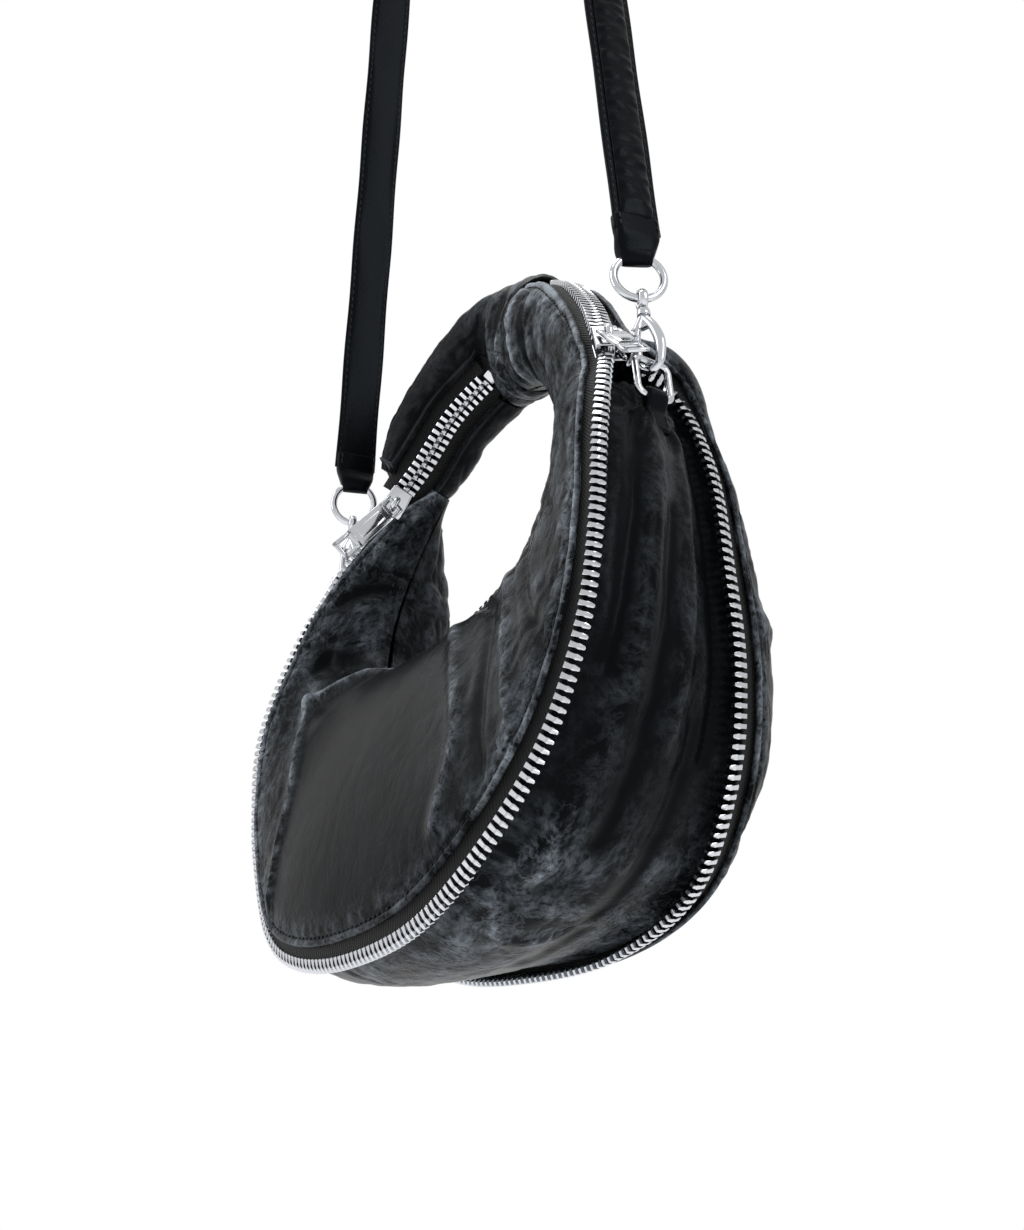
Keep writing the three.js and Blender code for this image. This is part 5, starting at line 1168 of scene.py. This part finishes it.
# Thread with a low sheen, its plies 0.5 mm apart
thread, tree = new_finish("black_polyester_thread")
place = add_node(tree, "ShaderNodeTexCoord")
plies = add_node(tree, "ShaderNodeTexNoise", {"Vector": place.outputs["Object"], "Scale": 2000.0, "Detail": 1.0})
end_cloth(tree, plies.outputs[0], "#0b0b0d", "#24262a", 0.3, 0.0002, {"Roughness": 0.7, "Specular IOR Level": 0.2})
STITCH_LENGTH, STITCH_PITCH, THREAD_RADIUS = 2.5, 3.4, 0.28
RING_SIDES = 40
stitch = bmesh.new()
bmesh.ops.create_icosphere(stitch, subdivisions=1, radius=1)
stitch_size = Vector((STITCH_LENGTH / 2, THREAD_RADIUS * 1.2, THREAD_RADIUS)) * MM
bmesh.ops.scale(stitch, verts=stitch.verts, vec=stitch_size)
stitch_shape = bpy.data.meshes.new("stitch")
stitch.to_mesh(stitch_shape)
stitch.free()


def add_stitches(mesh, points, normals, pitch=STITCH_PITCH):
    """Stitches a pitch apart along a line of points, lying on the leather."""
    gaps = np.linalg.norm(np.diff(points, axis=0), axis=-1)
    travelled = np.concatenate([[0], np.cumsum(gaps)])
    where = np.arange(pitch / 2, travelled[-1], pitch)

    def read(values, places):
        return np.stack([np.interp(places, travelled, values[:, k]) for k in range(3)], axis=-1)

    ups = unit(read(normals, where))
    ways = unit(read(points, where + 0.4) - read(points, where - 0.4))
    # Each stitch lies a little aslant
    ways = unit(ways + 0.12 * np.cross(ups, ways))
    repeat_shape(mesh, stitch_shape, read(points, where), ways, ups)


def strap_rings(heights, half_widths, half_thicknesses, shifts, turns, matrix):
    """Rings of a flat strap with rounded edges round its own Z axis, in the part's millimetres less the middle."""
    around = np.linspace(0, 2 * np.pi, RING_SIDES + 1)
    rings = []
    for height, half_width, half_thick, shift, turn in zip(heights, half_widths, half_thicknesses, shifts, turns):
        cosine, sine = np.cos(around), np.sin(around)
        flat_x = np.sign(cosine) * np.abs(cosine) ** 0.35 * half_width
        flat_y = np.sign(sine) * np.abs(sine) ** 0.6 * half_thick + shift
        turned = np.stack([flat_x * math.cos(turn) - flat_y * math.sin(turn),
                           flat_x * math.sin(turn) + flat_y * math.cos(turn), np.full_like(around, height)], axis=-1)
        placed = np.array([list(matrix @ Vector(point)) for point in turned]) / MM - LINKS_MIDDLE
        placed[-1] = placed[0]
        rings.append(placed)
    return np.array(rings)


TAB_LENGTH, TAB_REACH, TAB_HALF_WIDTH, TAB_NECK, TAB_HALF_THICKNESS = 14.0, 3.65, 8.7, 5.7, 2.9
# It turns from the ring's heading to the strap's
TAB_TURN = math.radians(15)
# The tab wraps the strap's end, which lies on its outer side
TAB_SHIFT = 2.1
for side in ("left", "right"):
    pull = joint_axis(side + "_hook_swivel")
    ring_top = joint_place(side + "_ring_swing")
    matrix = square_frame(flat_way(RING_HEADING), pull, ring_top)
    heights = np.concatenate([np.linspace(-TAB_REACH + 0.05, TAB_REACH, 18),
                              np.linspace(TAB_REACH + 0.4, TAB_LENGTH - 0.5, 20), (TAB_LENGTH - 0.2, TAB_LENGTH)])
    rise = np.clip(heights / TAB_REACH, -1, 1)
    rounding = np.sqrt(np.clip(1 - np.minimum(rise, 0.15) ** 2, 0.001, 1))
    ease = smooth(np.clip((heights - 0.2 * TAB_REACH) / (1.6 * TAB_REACH), 0, 1))
    half_thick = TAB_REACH * 0.98 * rounding * (1 - ease) + TAB_HALF_THICKNESS * ease
    half_thick[-1] *= 0.8
    spread_out = np.clip((heights + TAB_REACH / 2) / (0.8 * TAB_LENGTH + TAB_REACH / 2), 0, 1)
    half_wide = TAB_NECK + (TAB_HALF_WIDTH - TAB_NECK) * spread_out * (2 - spread_out) - 0.5 * (1 - rounding)
    turns = TAB_TURN * smooth(np.clip((heights + TAB_REACH) / (3 * TAB_REACH), 0, 1))
    shift = TAB_SHIFT if side == "left" else -TAB_SHIFT
    rings = strap_rings(heights, half_wide, half_thick, shift * ease, turns, matrix)
    add_piece(side + "_folded_tab", tube_mesh(rings), smooth_leather, "strap",
              (side + "_strap_tab",))
    # A short row of stitches beside each edge, on both faces
    mesh = bmesh.new()
    turned = Matrix.Rotation(TAB_TURN, 4, "Z")
    for face in (1, -1):
        normal = np.array((matrix @ turned).to_3x3() @ Vector((0, 1, 0))) * face / MM
        for across in (-TAB_HALF_WIDTH + 1.5, TAB_HALF_WIDTH - 1.5):
            line = np.array([list(matrix @ turned @ Vector((across, shift + face * TAB_HALF_THICKNESS, up)))
                             for up in np.linspace(8.0, 13.2, 30)]) / MM - LINKS_MIDDLE
            add_stitches(mesh, line, np.tile(normal, (len(line), 1)), 2.8)
    add_piece(side + "_tab_stitches", mesh, thread, "strap")

# The link loops go round the link's lower bar, and their tails lie on the gusset
LOOP_HALF_WIDTH, LOOP_REACH, LOOP_THICKNESS, LOOP_TAIL = 4.2, 3.0, 1.4, 13.0
for side, way in (("left", -1), ("right", 1)):
    station, share = LOOP_SEATS[side]
    bar = joint_place(side + "_link_hinge")
    bar_way = joint_axis(side + "_link_hinge")
    seat = Vector(on_gusset(np.array([station]), np.array([share]))[0, 0] + LINKS_MIDDLE)
    near = on_gusset(np.array([station - 0.1, station + 0.1]), np.array([share - 0.05, share, share + 0.05]))
    seat_normal = Vector(-unit(np.cross(near[1, 1] - near[0, 1], near[0, 2] - near[0, 0])))
    step = np.linalg.norm(zip_row(FRONT_ROW, np.array([14.0])) - zip_row(FRONT_ROW, np.array([15.0])))
    below = Vector(on_gusset(np.array([station - way * LOOP_TAIL / step]), np.array([share]))[0, 0] + LINKS_MIDDLE)
    down = (below - seat).normalized()
    down = (0.45 * down - 0.55 * joint_axis(side + "_hook_swivel")).normalized()
    tail = (down - down.dot(bar_way) * bar_way).normalized()
    matrix = square_frame(bar_way, tail, bar)
    outward = 1 if matrix.to_3x3().col[1].dot(seat_normal) > 0 else -1
    lay = outward * (LOOP_THICKNESS - LOOP_REACH)
    heights = np.concatenate([np.linspace(-LOOP_REACH + 0.04, LOOP_REACH, 16),
                              np.linspace(LOOP_REACH + 0.5, LOOP_TAIL, 16)])
    rise = np.clip(heights / LOOP_REACH, -1, 1)
    rounding = np.sqrt(np.clip(1 - np.minimum(rise, 0.1) ** 2, 0.001, 1))
    ease = smooth(np.clip((heights - 0.2 * LOOP_REACH) / (1.7 * LOOP_REACH), 0, 1))
    half_thick = LOOP_REACH * 0.98 * rounding * (1 - ease) + LOOP_THICKNESS * ease
    rings = strap_rings(heights, LOOP_HALF_WIDTH - 0.4 * (1 - rounding), half_thick, lay * ease,
                        np.zeros_like(heights), matrix)
    add_piece(side + "_link_loop", tube_mesh(rings), smooth_leather, "bag", (side + "_loop",))
    mesh = bmesh.new()
    for across in (-LOOP_HALF_WIDTH + 1.2, LOOP_HALF_WIDTH - 1.2):
        line = np.array([list(matrix @ Vector((across, lay + outward * 1.42, up)))
                         for up in np.linspace(6.5, 12.3, 12)]) / MM - LINKS_MIDDLE
        normal = np.array(matrix.to_3x3() @ Vector((0, outward, 0))) / MM
        add_stitches(mesh, line, np.tile(normal, (len(line), 1)), 2.6)
    add_piece(side + "_loop_stitches", mesh, thread, "bag")

# Strap: a long band of two layers of black leather, 18 mm wide, its outer face padded and ruched between two rows
# of stitches. It hangs over a shoulder at its round top.
HOLD_MIDDLE, HOLD_RADIUS = (0.0, -57.5), 55.6
STRAP_HALF_WIDTH, STRAP_HALF_THICKNESS, STRAP_LIFT, STRAP_TURN = 9.0, 1.0, 2.9, 10
PAD_HALF_WIDTH, PAD_HEIGHT, PAD_MARGIN, STRAP_START, SEAM_ACROSS = 6.4, 2.0, 4.5, 8.0, 7.4
ARC_STEPS, RUN_STEPS = 80, 380
tops = {side: joint_place(side + "_ring_swing") for side in ("left", "right")}
pulls = {side: joint_axis(side + "_hook_swivel") for side in ("left", "right")}
lengths = {side: math.sqrt((top.x - HOLD_MIDDLE[0]) ** 2 + (top.z - HOLD_MIDDLE[1]) ** 2 - HOLD_RADIUS ** 2)
           for side, top in tops.items()}
path, runs, turns = [], [], []
for length in np.linspace(STRAP_START, lengths["right"], RUN_STEPS):
    path.append(tops["right"] + pulls["right"] * length)
    runs.append(pulls["right"])
    turns.append(STRAP_TURN)
start = path[-1]
end = tops["left"] + pulls["left"] * lengths["left"]
first_angle = math.atan2(start.z - HOLD_MIDDLE[1], start.x - HOLD_MIDDLE[0])
sweep = (math.atan2(end.z - HOLD_MIDDLE[1], end.x - HOLD_MIDDLE[0]) - first_angle) % (2 * math.pi)
for step in range(1, ARC_STEPS):
    part = step / ARC_STEPS
    angle = first_angle + sweep * part
    path.append(Vector((HOLD_MIDDLE[0] + HOLD_RADIUS * math.cos(angle), start.y + (end.y - start.y) * part,
                        HOLD_MIDDLE[1] + HOLD_RADIUS * math.sin(angle))))
    runs.append(Vector((-math.sin(angle), 0, math.cos(angle))))
    turns.append(STRAP_TURN * abs(1 - 2 * part))
for length in np.linspace(lengths["left"], STRAP_START, RUN_STEPS):
    path.append(tops["left"] + pulls["left"] * length)
    runs.append(-pulls["left"])
    turns.append(STRAP_TURN)
widths = [(flat_way(90 - turn) - flat_way(90 - turn).dot(run) * run).normalized()
          for run, turn in zip(runs, turns)]
outs = [width.cross(run).normalized() for width, run in zip(widths, runs)]
middle_line = np.array([list(point + out * STRAP_LIFT) for point, out in zip(path, outs)]) - LINKS_MIDDLE
width_ways, out_ways = np.array([list(w) for w in widths]), np.array([list(o) for o in outs])
along = np.concatenate([[0], np.cumsum(np.linalg.norm(np.diff(middle_line, axis=0), axis=-1))])
around = np.linspace(0, 2 * np.pi, 45)
across = np.sign(np.cos(around)) * np.abs(np.cos(around)) ** 0.3 * STRAP_HALF_WIDTH
height = np.sign(np.sin(around)) * np.abs(np.sin(around)) ** 0.5 * STRAP_HALF_THICKNESS
wander = np.array([[noise.noise(Vector((a / 26, c / 5, 9.0))) * 0.28 for c in across] for a in along])
channel = hump(np.abs(across), SEAM_ACROSS, 0.6, -0.12) * np.sign(height)
points = (middle_line[:, None] + width_ways[:, None] * (across * (1 - 0.02 * np.sin(along / 9)[:, None]))[..., None]
          + out_ways[:, None] * (height + channel + wander * (height < 0))[..., None])
points[:, -1] = points[:, 0]
add_piece("strap_band", tube_mesh(points), smooth_leather, "strap", ("strap",))

# The padding's skin: ruched every 4 to 7 mm between its two seams
kept = (along > PAD_MARGIN) & (along < along[-1] - PAD_MARGIN)
line, pad_widths, pad_outs, pad_along = middle_line[kept], width_ways[kept], out_ways[kept], along[kept]
around = np.linspace(0, 2 * np.pi, 37)
across = np.cos(around) * PAD_HALF_WIDTH
ruches = np.array([[noise.noise(Vector((a / 3.4, c / 7, 2.0))) + 0.6 * noise.noise(Vector((a / 1.7, c / 5, 5.0)))
                    for c in across] for a in pad_along])
ends = np.clip(np.minimum(pad_along - PAD_MARGIN, along[-1] - PAD_MARGIN - pad_along) / 6, 0.05, 1)
crown = PAD_HEIGHT * np.sqrt(np.clip(1 - (across / PAD_HALF_WIDTH) ** 2, 0, 1)) ** 0.9 * (np.sin(around) > 0)
lifted = (STRAP_HALF_THICKNESS + 0.25 + crown * np.sqrt(ends)[:, None]
          + 0.85 * ruches * (crown / PAD_HEIGHT) * (0.35 + np.abs(across) / PAD_HALF_WIDTH))
points = line[:, None] + pad_widths[:, None] * across[None, :, None] + pad_outs[:, None] * lifted[..., None]
points[:, -1] = points[:, 0]
padding = add_piece("strap_padding", tube_mesh(points), smooth_leather, "strap", ("strap_pad",))

mesh = bmesh.new()
for across, face in ((-SEAM_ACROSS, 1), (SEAM_ACROSS, 1), (-SEAM_ACROSS, -1), (SEAM_ACROSS, -1)):
    line = middle_line + width_ways * across + out_ways * face * (STRAP_HALF_THICKNESS - 0.2)
    add_stitches(mesh, line[2:-2], out_ways[2:-2] * face)
add_piece("strap_stitches", mesh, thread, "strap")

# Stitches of the bag, in black polyester thread: a row 3 mm inside each panel's edge, and two rows along the seam
# round the hand hole.
EDGE_SEAM_INSET, HOLE_SEAM_INSETS = 3.1, (2.4, 5.0)
mesh = bmesh.new()
for panel in (FRONT, BACK):
    stations, _ = even_stations(lambda s: zip_row(panel["row"], s), 0.12, LAST_STATION - 0.1, 500)
    shares = shares_before(panel, stations, np.full((len(stations), 1), TAPE_SHOWN + EDGE_SEAM_INSET))[:, 0]
    normals = panel_normals(panel, stations, shares)
    add_stitches(mesh, on_panel(panel, stations, shares) + normals * (LEATHER_TOP - 0.25), normals)
    _, to_go = lengths_to_zip(panel, stations)
    for inset in HOLE_SEAM_INSETS:
        shares = shares_before(panel, stations, to_go[:, :1] - inset)[:, 0]
        normals = panel_normals(panel, stations, shares)
        add_stitches(mesh, on_panel(panel, stations, shares) + normals * (LEATHER_TOP - 0.15), normals)
add_piece("edge_stitches", mesh, thread, "bag")
